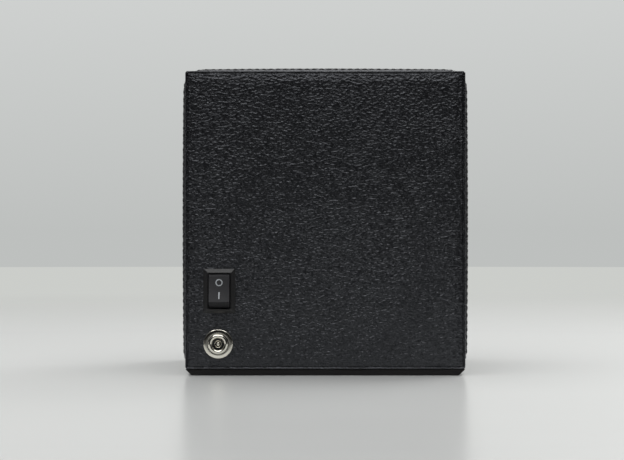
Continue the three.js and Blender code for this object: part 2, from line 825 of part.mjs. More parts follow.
function addCircuit() {
  const [x, z] = CIRCUIT.centre;
  const outline = roundedRectangle(CIRCUIT.halfWidth, CIRCUIT.halfHeight, 1);
  const holes = standoffAxes().map((axis) => circle(axis, 1.6, 10));
  const board = plate(
    outline.map(([u, v]) => [x + u, z + v]), holes, CIRCUIT.front, CIRCUIT.back,
  );
  const capacitor = [
    [0, CIRCUIT.back],
    [4, CIRCUIT.back],
    [4, CIRCUIT.back + 9.4],
    [3.5, CIRCUIT.back + 10],
    [0, CIRCUIT.back + 10],
  ];
  const terminal = block(
    [x - 9, CIRCUIT.back, z - 14],
    [x + 9, CIRCUIT.back + 8, z - 6],
  );
  add('circuit_board', board, paint(0x1f5a3a, 0.5));
  add('capacitor', turned([x - 8, z + 6], capacitor, 20), paint(0x26305a, 0.4));
  add('terminal_block', terminal, paint(0x2f6b4a, 0.5));
  standoffAxes().forEach((axis, i) => {
    const profile = [
      [0, MOUNT_BACK],
      [2.5, MOUNT_BACK],
      [2.5, CIRCUIT.front],
      [1.3, CIRCUIT.front],
      [1.3, CIRCUIT.back + 0.1],
      [2.1, CIRCUIT.back + 0.1],
      [1, CIRCUIT.back + 1.6],
      [0, CIRCUIT.back + 1.6],
    ];
    add(`board_standoff_${i + 1}`, turned(axis, profile, 10), whitePlastic());
  });
}

// Flat twin cable through the given points.
function twinCable(points) {
  const curve = new THREE.CatmullRomCurve3(points.map((point) => new THREE.Vector3(...point)));
  const outline = [
    [0.8, 0.7],
    [0, 1.5],
    [-0.8, 0.7],
    [-0.8, -0.7],
    [0, -1.5],
    [0.8, -0.7],
  ];
  const shape = new THREE.Shape(outline.map(([u, v]) => new THREE.Vector2(u, v)));
  const options = { steps: 14, extrudePath: curve, bevelEnabled: false };
  return welded(new THREE.ExtrudeGeometry(shape, options));
}

function addCables() {
  const [x, z] = CIRCUIT.centre;
  const entryY = CIRCUIT.back + 4;
  const under = z - 14;
  const jackCable = [
    [JACK.x, JACK_BACK - 0.3, JACK.z],
    [JACK.x, JACK_BACK - 4, JACK.z],
    [JACK.x - 5, 40, JACK.z + 8],
    [24, 34, 56],
    [0, 33, 66],
    [x + 5, 31, under - 12],
    [x + 5, entryY, under - 4],
    [x + 5, entryY, under - 0.3],
  ];
  const switchCable = [
    [SWITCH.x, SWITCH_BACK - 0.3, SWITCH.z],
    [SWITCH.x, SWITCH_BACK - 4, SWITCH.z],
    [SWITCH.x - 6, 42, SWITCH.z + 14],
    [20, 37, 76],
    [-6, 38, 96],
    [x + 18, 30, z - 8],
    [x + 13, entryY, z - 10],
    [x + 9.3, entryY, z - 10],
  ];
  const motorCable = [
    [MOTOR_AXIS[0], MOTOR.end + 2.3, MOTOR_AXIS[1]],
    [MOTOR_AXIS[0], MOTOR.end + 5, MOTOR_AXIS[1]],
    [MOTOR_AXIS[0] - 10, 50, MOTOR_AXIS[1] + 14],
    [x + 8, 38, under - 26],
    [x - 5, 30, under - 14],
    [x - 5, entryY, under - 4],
    [x - 5, entryY, under - 0.3],
  ];
  add('jack_cable', twinCable(jackCable), cable());
  add('switch_cable', twinCable(switchCable), cable());
  add('motor_cable', twinCable(motorCable), cable());
}

// ---- Switch ----

function switchRing(y, [halfWidth, halfHeight], radius = 0.6) {
  return ring([SWITCH.x, SWITCH.z], y, { halfWidth, halfHeight }, radius);
}

// The bezel slopes up from a thin rim to a narrow flat round the window.
function addSwitchHousing() {
  const top = SWITCH.bezel.map((half) => half - BEZEL_SLOPE);
  const housing = loft([
    switchRing(SWITCH_BACK, SWITCH.body),
    switchRing(REAR_FACE, SWITCH.body),
    switchRing(REAR_FACE, SWITCH.bezel),
    switchRing(REAR_FACE + BEZEL_RIM, SWITCH.bezel),
    switchRing(BEZEL_FACE, top),
    switchRing(BEZEL_FACE, SWITCH.window),
    switchRing(REAR_FACE - SWITCH_POCKET, SWITCH.window),
  ]);
  const pivot = [SWITCH.x, ROCKER.pivotY, SWITCH.z];
  const bore = barAlong('x', pivot, PIVOT.bore, 2 * (ROCKER.halfWidth + PIVOT.boreReach));
  add('switch_housing', cut(housing, [bore]), blackPlastic());
}

// Side view of the rocker about its pivot: two faces meeting in a valley, arcs at the ends.
function rockerOutline() {
  const steps = 4;
  const low = THREE.MathUtils.degToRad(-14);
  const end = [];
  for (let i = 0; i <= steps; i += 1) {
    const angle = ROCKER_CREST + ((low - ROCKER_CREST) * i) / steps;
    end.push([ROCKER.radius * Math.cos(angle), ROCKER.radius * Math.sin(angle)]);
  }
  const mirrored = [...end].reverse().map(([along, out]) => [-along, out]);
  return [[0, ROCKER.valley], ...end, ...mirrored];
}

function addRocker() {
  const turn = ROCKER_TILT;
  const outline = rockerOutline().map(([along, out]) => {
    const z = along * Math.cos(turn) + out * Math.sin(turn);
    const y = -along * Math.sin(turn) + out * Math.cos(turn);
    return [y, z];
  });
  const ringAt = (x) => outline.map(([y, z]) => [x, ROCKER.pivotY + y, SWITCH.z + z]);
  const body = loft([
    ringAt(SWITCH.x - ROCKER.halfWidth),
    ringAt(SWITCH.x + ROCKER.halfWidth),
  ]);
  const pivot = [SWITCH.x, ROCKER.pivotY, SWITCH.z];
  const pins = barAlong('x', pivot, PIVOT.pin, 2 * (ROCKER.halfWidth + PIVOT.pinReach));
  add('rocker_button', joined([body, pins]), blackPlastic());
}

// ---- Power jack ----

function addJack() {
  const axis = [JACK.x, JACK.z];
  const face = REAR_FACE + 3.9;
  const depth = 60;
  const body = [
    [0, depth],
    [JACK.socket, depth],
    [JACK.socket, face - 0.4],
    [JACK.socket + 0.4, face],
    [JACK.collar - 0.8, face],
    [JACK.collar - 0.2, face - 0.5],
    [JACK.collar, face - 1.2],
    [JACK.collar, BOARD_END],
    [JACK.collar + 0.7, BOARD_END],
    [JACK.collar + 0.7, JACK_BACK],
    [0, JACK_BACK],
  ];
  const nut = [
    [JACK.collar + 0.1, REAR_FACE],
    [JACK.nut, REAR_FACE],
    [JACK.nut, REAR_FACE + 0.8],
    [JACK.nut - 0.4, REAR_FACE + 1.15],
    [JACK.collar + 0.1, REAR_FACE + 1.45],
  ];
  add('jack_body', turned(axis, body, 28), nickel());
  add('jack_nut', turned(axis, nut, 28), nickel());
  add('jack_pin', rod(axis, JACK.pin, depth, face - 2, 14), nickel());
}

// ---- Watch pillow and its cradle ----

function pillowRing(y, size, radius = 2) {
  return ring(DRUM_AXIS, y, size, radius);
}

function addCradle() {
  const outside = CRADLE.arm + CRADLE.armWall;
  const arm = (side) => block(
    [Math.min(side * CRADLE.arm, side * outside), PILLOW_CORE_FRONT, CENTRE_Z - CRADLE.halfHeight],
    [Math.max(side * CRADLE.arm, side * outside), CRADLE.floor, CENTRE_Z + CRADLE.halfHeight],
  );
  const floor = block(
    [-outside, CRADLE.floor, CENTRE_Z - CRADLE.halfHeight],
    [outside, CRADLE.back, CENTRE_Z + CRADLE.halfHeight],
  );
  add('pillow_cradle', joined([floor, arm(-1), arm(1)]), blackPlastic());
}

function addPillowShells() {
  const pocket = inset(PILLOW, PILLOW_WALL);
  const skirt = inset(pocket, 0.4);
  const core = loft([
    pillowRing(PILLOW_BACK, PILLOW),
    pillowRing(PILLOW_CORE_FRONT, PILLOW),
    pillowRing(PILLOW_CORE_FRONT, pocket),
    pillowRing(PILLOW_BACK - PILLOW_WALL, pocket),
  ]);
  const slider = loft([
    pillowRing(PILLOW_PLATE.front, PILLOW),
    pillowRing(PILLOW_PLATE.back, PILLOW),
    pillowRing(PILLOW_PLATE.back, skirt),
    pillowRing(SKIRT_END, skirt),
    pillowRing(SKIRT_END, inset(skirt, 2)),
    pillowRing(PILLOW_PLATE.back, inset(skirt, 2)),
  ]);
  add('pillow_core', core, blackPlastic());
  add('pillow_slider', slider, blackPlastic());
}

function addCushion() {
  const cushion = loft([
    pillowRing(PILLOW_PLATE.front, inset(CUSHION, 1.5), 5),
    pillowRing(PILLOW_PLATE.front - 1.5, CUSHION, 6),
    pillowRing(CUSHION_FRONT + 5, CUSHION, 6),
    pillowRing(CUSHION_FRONT + 2, inset(CUSHION, 1.2), 6),
    pillowRing(CUSHION_FRONT, inset(CUSHION, 5), 5),
  ]);
  add('cushion', cushion, suede());
}

class Coil extends THREE.Curve {
  constructor(x, y0, y1) {
    super();
    this.x = x;
    this.y0 = y0;
    this.y1 = y1;
  }

  getPoint(t) {
    const angle = t * SPRING.turns * 2 * Math.PI;
    return new THREE.Vector3(
      this.x + SPRING.radius * Math.cos(angle),
      this.y0 + (this.y1 - this.y0) * t,
      CENTRE_Z + SPRING.radius * Math.sin(angle),
    );
  }
}

function addSprings() {
  const clearance = SPRING.wire + 0.1;
  const floor = PILLOW_BACK - PILLOW_WALL;
  const wire = circle([0, 0], SPRING.wire, 4).map(([u, v]) => new THREE.Vector2(u, v));
  [-1, 1].forEach((side) => {
    const path = new Coil(side * SPRING.x, PILLOW_PLATE.back + clearance, floor - clearance);
    const options = { steps: SPRING.turns * 8, extrudePath: path, bevelEnabled: false };
    const geometry = new THREE.ExtrudeGeometry(new THREE.Shape(wire), options);
    add(`pillow_spring_${side < 0 ? 'left' : 'right'}`, welded(geometry), steel());
  });
}

addCarcass();
addWrap();
addRear();
addPads();
addBase();
addFaceplate();
addDoor();
addDoorPull();
addCatch();
Object.entries(hingeHeights()).forEach(([place, z]) => addHinge(place, z));
addDrum();
addShaftClip();
addGears();
addIdlerPin();
addMountPlate();
addBush();
addMotor();
addCircuit();
addCables();
addSwitchHousing();
addRocker();
addJack();
addCradle();
addPillowShells();
addCushion();
addSprings();

export default root;
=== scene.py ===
"""Looks for the watch winder box: leather, stitching, glass, drum, cushion, studio."""
import json
import math

import bmesh
import bpy
from mathutils import Matrix, Vector, noise


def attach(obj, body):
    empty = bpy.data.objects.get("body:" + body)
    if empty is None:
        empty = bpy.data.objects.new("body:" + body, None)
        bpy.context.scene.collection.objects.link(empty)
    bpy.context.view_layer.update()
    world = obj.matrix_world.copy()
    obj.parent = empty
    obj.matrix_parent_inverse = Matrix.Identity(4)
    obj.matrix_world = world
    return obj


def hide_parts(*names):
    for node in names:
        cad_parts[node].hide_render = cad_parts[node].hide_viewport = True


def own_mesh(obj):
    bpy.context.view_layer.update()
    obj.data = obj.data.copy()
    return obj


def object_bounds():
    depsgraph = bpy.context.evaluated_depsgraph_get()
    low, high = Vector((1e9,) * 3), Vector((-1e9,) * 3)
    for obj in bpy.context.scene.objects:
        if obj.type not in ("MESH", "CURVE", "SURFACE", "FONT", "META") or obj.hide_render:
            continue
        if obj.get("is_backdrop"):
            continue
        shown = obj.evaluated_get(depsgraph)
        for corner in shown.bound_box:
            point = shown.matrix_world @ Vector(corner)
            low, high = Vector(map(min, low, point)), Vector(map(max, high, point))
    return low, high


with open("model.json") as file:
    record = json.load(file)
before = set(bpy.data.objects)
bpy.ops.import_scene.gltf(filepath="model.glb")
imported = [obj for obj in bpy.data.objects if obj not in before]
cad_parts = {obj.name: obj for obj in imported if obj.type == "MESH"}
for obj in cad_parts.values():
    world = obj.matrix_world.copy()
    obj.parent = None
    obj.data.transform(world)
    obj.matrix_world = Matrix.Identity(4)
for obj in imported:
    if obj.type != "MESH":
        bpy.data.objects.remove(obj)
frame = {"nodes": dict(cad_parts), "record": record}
cad_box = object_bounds()
PEBBLE_SEED = 5
noise.seed_set(PEBBLE_SEED)  # else the pebbles would lie differently at each run
MM = 0.001

# ---- dimensions, mm
CENTRE_Z = 73.5
HALF_W, HALF_H = 66.25, 70.5
REAR_Y = 72.5
DOOR_Y = -72.5
DOOR_BACK = -61.4
WINDOW = (48.25, 52.5)
SWITCH = (50.1, 40.0)
JACK = (50.6, 15.0)
DRUM_AXIS = (0.0, CENTRE_Z)
GRAIN = 1.32  # size of one pebble of the leather
STITCH_PITCH = 3.4


# ---- node helpers
class Nodes:
    """Short-hand for building the node tree of a material or a world."""

    def __init__(self, owner):
        owner.use_nodes = True
        self.tree = owner.node_tree

    def add(self, kind, **settings):
        node = self.tree.nodes.new(kind)
        for key, value in settings.items():
            setattr(node, key, value)
        return node

    def link(self, source, target):
        self.tree.links.new(source, target)

    def fill(self, node, **values):
        """Sets a node's inputs to numbers or colours, or links other nodes' outputs to them."""
        for name, value in values.items():
            self.feed(node.inputs[name.replace("_", " ")], value)
        return node

    def feed(self, socket, value):
        if isinstance(value, (int, float)):
            socket.default_value = value
        elif isinstance(value, tuple):
            socket.default_value = (*value, 1)
        else:
            self.link(value, socket)

    def coords(self, scale=(1, 1, 1), rotation=(0, 0, 0)):
        where = self.add("ShaderNodeTexCoord")
        mapping = self.add("ShaderNodeMapping")
        mapping.inputs["Scale"].default_value = scale
        mapping.inputs["Rotation"].default_value = rotation
        self.link(where.outputs["Object"], mapping.inputs["Vector"])
        return mapping.outputs["Vector"]

    def noise(self, vector, scale, detail=4.0, rough=0.55):
        node = self.add("ShaderNodeTexNoise")
        self.fill(node, Vector=vector, Scale=scale, Detail=detail, Roughness=rough)
        return node.outputs["Fac"]

    def remap(self, value, low, high, to_low, to_high):
        node = self.add("ShaderNodeMapRange")
        self.fill(node, Value=value, From_Min=low, From_Max=high, To_Min=to_low, To_Max=to_high)
        return node.outputs["Result"]

    def math(self, operation, a, b):
        node = self.add("ShaderNodeMath", operation=operation)
        self.feed(node.inputs[0], a)
        self.feed(node.inputs[1], b)
        return node.outputs[0]

    def mix(self, factor, a, b):
        node = self.add("ShaderNodeMix", data_type="RGBA")
        self.link(factor, node.inputs["Factor"])
        self.feed(node.inputs[6], a)
        self.feed(node.inputs[7], b)
        return node.outputs[2]

    def blend(self, factor, one, two):
        """Mixes two shaders."""
        node = self.add("ShaderNodeMixShader")
        for socket, value in zip(node.inputs, (factor, one, two)):
            self.feed(socket, value)
        return node.outputs[0]

    def bump(self, height, strength, distance, under=None):
        node = self.add("ShaderNodeBump")
        self.fill(node, Height=height, Strength=strength, Distance=distance)
        if under is not None:
            self.link(under, node.inputs["Normal"])
        return node.outputs["Normal"]

    def looked_at(self):
        """1 for what the camera sees, also through glass; 0 for everything else."""
        rays = self.add("ShaderNodeLightPath")
        camera, through = rays.outputs["Is Camera Ray"], rays.outputs["Is Transmission Ray"]
        return self.math("MAXIMUM", camera, through)


class Surface(Nodes):
    """A new material with its principled shader."""

    def __init__(self, name):
        self.material = bpy.data.materials.new(name)
        super().__init__(self.material)
        self.shader = self.tree.nodes["Principled BSDF"]

    def finish(self, colour, roughness, normal, **values):
        self.fill(self.shader, Base_Color=colour, Roughness=roughness, Normal=normal, **values)
        return self.material


# ---- materials
def leather_material(name="black_leather", relief=False):
    """Pebbled black leather with painted shade in its creases and a painted sheen on its crowns.
    With relief the pebbles come from the mesh itself.
    """
    n = Surface(name)
    at = n.coords()
    wrinkle_scale = 900
    lie = n.noise(at, 22, 2, 0.5)
    flat = n.noise(n.coords(scale=(0.62, 0.7, 1.0)), wrinkle_scale, 2, 0.4)
    lean = (0, math.radians(28), 0)
    leaning = n.coords(scale=(0.62, 0.7, 1.05), rotation=lean)
    slanted = n.noise(leaning, wrinkle_scale, 2, 0.4)
    turn = n.remap(lie, 0.42, 0.56, 0.0, 1.0)
    level = n.math("MULTIPLY", flat, n.math("SUBTRACT", 1.0, turn))
    wrinkle = n.math("ADD", level, n.math("MULTIPLY", slanted, turn))
    wrinkle = n.remap(wrinkle, 0.36, 0.60, 0.0, 1.0)
    fine = n.noise(at, 2600, 4, 0.6)
    patch = n.noise(at, 34, 3, 0.5)
    if relief:
        height = n.add("ShaderNodeAttribute", attribute_name="grain").outputs["Fac"]
        first = n.bump(wrinkle, 1.0, 0.00022)
    else:
        cells = n.add("ShaderNodeTexVoronoi", feature="DISTANCE_TO_EDGE")
        n.fill(cells, Vector=n.coords(scale=(0.7, 0.8, 1.1)), Scale=1000 / GRAIN)
        height = n.remap(cells.outputs["Distance"], 0.0, 0.32, 0.0, 1.0)
        first = n.bump(wrinkle, 0.5, 0.0002, n.bump(height, 0.4, 0.00012))
    normal = n.bump(fine, 0.25, 0.00008, first)
    # painted shade and sheen: the creases are coloured darker and the crowns of the pebbles lighter;
    # worn adds lighter patches at random
    crease, painted_crown_sheen, worn = (0.0015, 0.0016, 0.0020), (0.0032, 0.0033, 0.0041), (0.006, 0.006, 0.007)
    colour = n.mix(n.remap(height, 0.0, 0.6, 0.0, 1.0), crease, painted_crown_sheen)
    colour = n.mix(n.remap(patch, 0.35, 0.7, 0.0, 0.3), colour, worn)
    satin = n.remap(fine, 0.3, 0.7, 0.28, 0.38)
    dull_crease = n.remap(height, 0, 0.7, 0.10, 0.0)
    rough = n.math("ADD", satin, dull_crease)
    shine, bluish = n.remap(height, 0.0, 0.5, 0.3, 0.6), (0.90, 0.93, 1.0)
    return n.finish(colour, rough, normal, Specular_IOR_Level=shine, Specular_Tint=bluish)


def thread_material():
    """Twisted black thread with a soft sheen."""
    n = Surface("black_thread")
    twist = n.add("ShaderNodeTexWave", wave_type="BANDS", bands_direction="DIAGONAL")
    n.fill(twist, Vector=n.coords(), Scale=900, Distortion=2)
    colour = n.mix(twist.outputs["Fac"], (0.014, 0.014, 0.015), (0.038, 0.038, 0.04))
    normal = n.bump(twist.outputs["Fac"], 0.6, 0.0001)
    return n.finish(colour, 0.42, normal, Sheen_Weight=0.3)


def plastic_material(name, colour, roughness=0.42, texture=2200, shine=0.5):
    """Moulded plastic with a fine spark-eroded texture."""
    n = Surface(name)
    at = n.coords()
    spark = n.noise(at, texture, 3, 0.6)
    patch = n.noise(at, 60, 3)
    lighter = tuple(min(1.0, channel * 1.25 + 0.002) for channel in colour)
    shade = n.mix(patch, colour, lighter)
    even = n.remap(spark, 0.3, 0.7, roughness - 0.04, roughness + 0.04)
    rough = n.math("ADD", even, n.remap(patch, 0.3, 0.7, -0.03, 0.03))
    return n.finish(shade, rough, n.bump(spark, 0.25, 0.00006), Specular_IOR_Level=shine)


def metal_material(name, colour, roughness, brushed=(1, 1, 1), smudge=0.06, lined=0.12):
    """Metal with fine drawn lines along one axis and faint smudges."""
    n = Surface(name)
    lines = n.noise(n.coords(scale=brushed), 900, 4, 0.6)
    patch = n.noise(n.coords(), 120, 3, 0.6)
    dull = tuple(channel * 0.82 for channel in colour)
    shade = n.mix(n.remap(patch, 0.35, 0.7, 0, 1), colour, dull)
    drawn = n.remap(lines, 0.3, 0.7, roughness * 0.8, roughness * 1.2)
    rough = n.math("ADD", drawn, n.remap(patch, 0.3, 0.7, 0, smudge))
    return n.finish(shade, rough, n.bump(lines, lined, 0.00004), Metallic=1.0)


def suede_material(name, colour, nap_depth=0.55, mottle=90):
    """Short napped fabric: mottled colour, soft sheen, a fine directional nap."""
    n = Surface(name)
    nap = n.noise(n.coords(scale=(1, 1, 2.2)), 1500, 5, 0.65)
    patch = n.noise(n.coords(), mottle, 4, 0.6)
    bright = tuple(channel * 1.7 for channel in colour)
    shade = n.mix(n.remap(patch, 0.35, 0.68, 0, 1), colour, bright)
    shade = n.mix(n.remap(nap, 0.3, 0.7, 0.0, 0.45), shade, bright)
    return n.finish(
        shade, 0.95, n.bump(nap, nap_depth, 0.00018), Sheen_Weight=0.45, Sheen_Roughness=0.45
    )


def fibreboard_material():
    """Bare brown board; its front edges are covered by the leather turned in over them."""
    n = Surface("fibreboard")
    bare_from, covered_to = -0.0583, -0.0585
    chips = n.add("ShaderNodeTexVoronoi", feature="F1")
    n.fill(chips, Vector=n.coords(scale=(1, 0.5, 1)), Scale=900)
    fibres = n.noise(n.coords(), 1400, 5, 0.7)
    shade = n.mix(chips.outputs["Color"], (0.2, 0.12, 0.06), (0.34, 0.22, 0.12))
    shade = n.mix(n.remap(fibres, 0.35, 0.7, 0, 0.5), shade, (0.12, 0.07, 0.035))
    split = n.add("ShaderNodeSeparateXYZ")
    n.link(n.coords(), split.inputs[0])
    turned_in = n.remap(split.outputs["Y"], covered_to, bare_from, 1.0, 0.0)
    leather = (0.007, 0.007, 0.008)
    shade = n.mix(turned_in, shade, leather)
    return n.finish(shade, n.remap(turned_in, 0, 1, 0.85, 0.5), n.bump(fibres, 0.4, 0.0001))


def glass_material():
    """Clear glass. Lamps, soft light and the shine of other pieces pass straight through it, so
    it throws no bright specks or patches."""
    n = Surface("door_glass")
    smear = n.noise(n.coords(), 30, 4, 0.6)
    rough = n.remap(smear, 0.55, 0.8, 0.0, 0.012)
    normal = n.bump(smear, 0.01, 0.0001)
    n.finish((0.97, 0.99, 0.98), rough, normal, Transmission_Weight=1.0, IOR=1.22)
    rays = n.add("ShaderNodeLightPath")
    shadow, diffuse, glossy, through = (
        rays.outputs[f"Is {kind} Ray"] for kind in ("Shadow", "Diffuse", "Glossy", "Transmission")
    )
    shine = n.math("SUBTRACT", glossy, through)
    passing = n.math("MAXIMUM", n.math("MAXIMUM", shadow, diffuse), shine)
    clear = n.add("ShaderNodeBsdfTransparent")
    surface = n.blend(passing, n.shader.outputs[0], clear.outputs[0])
    n.link(surface, n.tree.nodes["Material Output"].inputs["Surface"])
    return n.material


def board_material():
    """Green circuit board with paler tracks."""
    n = Surface("circuit_board")
    tracks = n.add("ShaderNodeTexBrick")
    green, other_green, track = (0.012, 0.09, 0.038), (0.014, 0.11, 0.046), (0.03, 0.2, 0.08)
    n.fill(tracks, Vector=n.coords(rotation=(math.radians(90), 0, 0)), Scale=160)
    n.fill(tracks, Mortar_Size=0.06, Color1=green, Color2=other_green, Mortar=track)
    rough = n.remap(tracks.outputs["Fac"], 0, 1, 0.35, 0.28)
    normal = n.bump(tracks.outputs["Fac"], 0.3, 0.00005)
    return n.finish(tracks.outputs["Color"], rough, normal)


def print_material():
    """The greyish white ink of the switch marks, a little rubbed."""
    n = Surface("switch_print")
    rubbed = n.noise(n.coords(), 1300, 4, 0.7)
    shade = n.mix(n.remap(rubbed, 0.45, 0.8, 0, 1), (0.46, 0.49, 0.51), (0.2, 0.21, 0.22))
    return n.finish(shade, 0.55, n.bump(rubbed, 0.2, 0.00003))


def floor_material():
    """Pale satin table top. The camera, also through glass, sees it mirror softly and run on
    evenly to the horizon; in the shine of the box the table ends 0.4 m away."""
    n = Surface("studio_floor")
    mirror_share = 0.64
    table_ends, backdrop_begins = (0.15, 0.38), (0.45, 1.4)
    horizon, dim, dark = (0.60, 0.613, 0.59), (0.30, 0.30, 0.30), (0.05, 0.05, 0.05)
    cloud = n.noise(n.coords(), 3, 4, 0.5)
    away = n.add("ShaderNodeVectorMath", operation="LENGTH")
    n.link(n.coords(), away.inputs[0])
    rays = n.add("ShaderNodeLightPath")

    def shader(kind, **values):
        return n.fill(n.add(kind), **values).outputs[0]

    matt_colour = n.mix(cloud, (0.74, 0.75, 0.74), (0.78, 0.79, 0.78))
    matt = shader("ShaderNodeBsdfDiffuse", Color=matt_colour)
    rough = n.remap(cloud, 0.3, 0.7, 0.24, 0.27)
    gloss = shader("ShaderNodeBsdfGlossy", Color=(0.97, 0.98, 0.96), Roughness=rough)
    satin = n.blend(mirror_share, matt, gloss)
    far = n.remap(away.outputs["Value"], *backdrop_begins, 0.0, 1.0)
    seen = n.blend(far, satin, shader("ShaderNodeEmission", Color=horizon))
    past_table = n.remap(away.outputs["Value"], *table_ends, 0.0, 1.0)
    in_shine = n.blend(past_table, matt, shader("ShaderNodeBsdfDiffuse", Color=dark))
    dimmed = shader("ShaderNodeBsdfDiffuse", Color=dim)
    bounced = n.blend(rays.outputs["Is Glossy Ray"], dimmed, in_shine)
    output = n.tree.nodes["Material Output"]
    n.link(n.blend(n.looked_at(), bounced, seen), output.inputs["Surface"])
    n.tree.nodes.remove(n.shader)
    return n.material


LEATHER = leather_material()
RELIEF_LEATHER = leather_material("black_leather_relief", relief=True)
THREAD = thread_material()
BLACK = plastic_material("black_plastic", (0.010, 0.010, 0.011))
SWITCH_BLACK = plastic_material("switch_plastic", (0.009, 0.009, 0.0095), 0.36, 3000, 0.36)
ROCKER_BLACK = plastic_material("rocker_plastic", (0.034, 0.034, 0.036), 0.45, 3000, 0.13)
BASE_BLACK = plastic_material("base_plastic", (0.0065, 0.0055, 0.0055), 0.5, 2200, 0.22)
WHITE = plastic_material("white_nylon", (0.69, 0.67, 0.62), 0.45)
NICKEL = metal_material("plated_nickel", (0.66, 0.64, 0.57), 0.08, (1, 1, 1), 0.03, 0.012)
STEEL = metal_material("brushed_steel", (0.42, 0.43, 0.44), 0.32, (0.08, 1, 1))
BRASS = metal_material("satin_brass", (0.60, 0.43, 0.17), 0.28, (1, 1, 0.1))
SUEDE = suede_material("charcoal_suede", (0.055, 0.053, 0.055))
CUSHION_SUEDE = suede_material("cushion_suede", (0.105, 0.101, 0.097), 0.8, 170)
FIBREBOARD = fibreboard_material()
GLASS = glass_material()
BOARD = board_material()
SLEEVE = plastic_material("capacitor_sleeve", (0.02, 0.03, 0.1), 0.3, 1200)
CABLE = plastic_material("cable_sheath", (0.016, 0.016, 0.018), 0.5, 1500)
PRINT = print_material()

SLOT_MATERIALS = {
    "leather": LEATHER,
    "fibreboard": FIBREBOARD,
    "black_plastic": BLACK,
    "white_plastic": WHITE,
    "steel": STEEL,
    "brass": BRASS,
    "glass": GLASS,
    "board": BOARD,
    "capacitor": SLEEVE,
    "cable": CABLE,
}


# ---- mesh helpers
def new_object(name, mesh, material, smooth=True):
    mesh.name = name
    piece = bpy.data.objects.new(name, mesh)
    bpy.context.scene.collection.objects.link(piece)
    mesh.materials.append(material)
    mesh.polygons.foreach_set("use_smooth", [smooth] * len(mesh.polygons))
    return piece


def piece_from(name, points, faces, material, smooth=True):
    """Object from millimetre points, its faces turned to point outwards."""
    mesh = bpy.data.meshes.new(name)
    mesh.from_pydata([tuple(c * MM for c in p) for p in points], [], faces)
    bm = bmesh.new()
    bm.from_mesh(mesh)
    bmesh.ops.remove_doubles(bm, verts=bm.verts, dist=1e-6)
    bmesh.ops.recalc_face_normals(bm, faces=bm.faces)
    bm.to_mesh(mesh)
    bm.free()
    return new_object(name, mesh, material, smooth)


def place(piece, body, *nodes, slot=None):
    """Lets a piece ride on a body and stand in for CAD nodes; slot is not used."""
    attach(piece, body)
    if nodes:
        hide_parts(*nodes)
    return piece


def bevel(piece, width):
    """Rounds the sharp edges of a piece by a width in mm."""
    modifier = piece.modifiers.new("bevel", "BEVEL")
    modifier.width = width * MM
    modifier.segments = 2
    modifier.limit_method = "ANGLE"
    modifier.angle_limit = math.radians(35)
    piece.modifiers.new("normals", "WEIGHTED_NORMAL").keep_sharp = True


def circle(steps):
    """Cosine and sine at even steps round a circle."""
    turns = [2 * math.pi * k / steps for k in range(steps)]
    return [(math.cos(turn), math.sin(turn)) for turn in turns]


def tube_faces(rows, around, closed=False):
    """Faces between neighbouring rings of points; closed joins the last ring to the first."""
    faces = []
    for row in range(rows if closed else rows - 1):
        a, b = row * around, ((row + 1) % rows) * around
        for k in range(around):
            m = (k + 1) % around
            faces.append((a + k, a + m, b + m, b + k))
    return faces


def lid(row, around):
    """Face that closes one ring of points."""
    return tuple(row * around + k for k in range(around))


def lathe(name, axis, profile, material, steps=96):
    """Turned piece about an axis along Y. Profile points are (radius, y); ends on the axis close."""
    x0, z0 = axis
    points = [(x0 + r * c, y, z0 + r * s) for r, y in profile for c, s in circle(steps)]
    faces = tube_faces(len(profile), steps, closed=profile[0][0] > 0)
    return piece_from(name, points, faces, material)


def rounded(profile, radius):
    """Rounds the corners of a turned profile."""
    steps = 3
    longest = 0.45  # share of an edge that one corner may use
    out = []
    count = len(profile)
    for i, (r, y) in enumerate(profile):
        before = profile[i - 1]
        after = profile[(i + 1) % count]
        on_end = profile[0][0] == 0 and i in (0, count - 1)
        one = Vector((before[0] - r, before[1] - y))
        two = Vector((after[0] - r, after[1] - y))
        if on_end or one.length < 1e-9 or two.length < 1e-9:
            out.append((r, y))
            continue
        cut = min(radius, one.length * longest, two.length * longest)
        start = Vector((r, y)) + one.normalized() * cut
        end = Vector((r, y)) + two.normalized() * cut
        for step in range(steps + 1):
            t = step / steps
            p = start * (1 - t) ** 2 + Vector((r, y)) * 2 * t * (1 - t) + end * t**2
            out.append((p.x, p.y))
    return out


# ---- leather surfaces
def pebble(p):
    """Height 0 to 1 of the leather grain at a point in mm: wrinkled, slightly drawn out cells."""
    drift = -p.x / (2.2 * HALF_W)
    lean = 0.5 + drift + 0.5 * noise.noise(Vector((p.x * 0.02 + 3.1, p.y * 0.02, p.z * 0.02)))
    lean = max(0.0, min(1.0, lean))
    sway = noise.noise_vector(p * 0.16) + noise.noise_vector(p * 0.55) * 0.35
    q = p + sway
    angle = math.radians(2 - 34 * lean)
    along = q.x * math.cos(angle) + q.z * math.sin(angle)
    across = -q.x * math.sin(angle) + q.z * math.cos(angle)
    at = Vector((along * 0.72, q.y * 0.9, across * 1.25)) / GRAIN
    crease = cell_edge(at, 0.38)
    dome = crease * (2 - crease)
    detail = cell_edge(at * 2.3 + Vector((7, 3, 1)), 0.4)
    return 0.78 * dome + 0.22 * detail


def cell_edge(at, width):
    """0 on the border between two cells, rising to 1 over the width beside it."""
    near = noise.voronoi(at, distance_metric="DISTANCE")[0]
    return min(1.0, (near[1] - near[0]) / width)


def emboss(piece, depth, mask):
    """Presses the leather grain into the mesh along its normals, and keeps it as an attribute."""
    middle_height = 0.62
    mesh = piece.data
    normals = [v.normal.copy() for v in mesh.vertices]
    stored = mesh.attributes.new("grain", "FLOAT", "POINT")
    values = []
    for vertex, normal in zip(mesh.vertices, normals):
        spot = vertex.co / MM
        height = pebble(spot)
        vertex.co += normal * (height - middle_height) * depth * mask(spot) * MM
        values.append(height)
    stored.data.foreach_set("value", values)


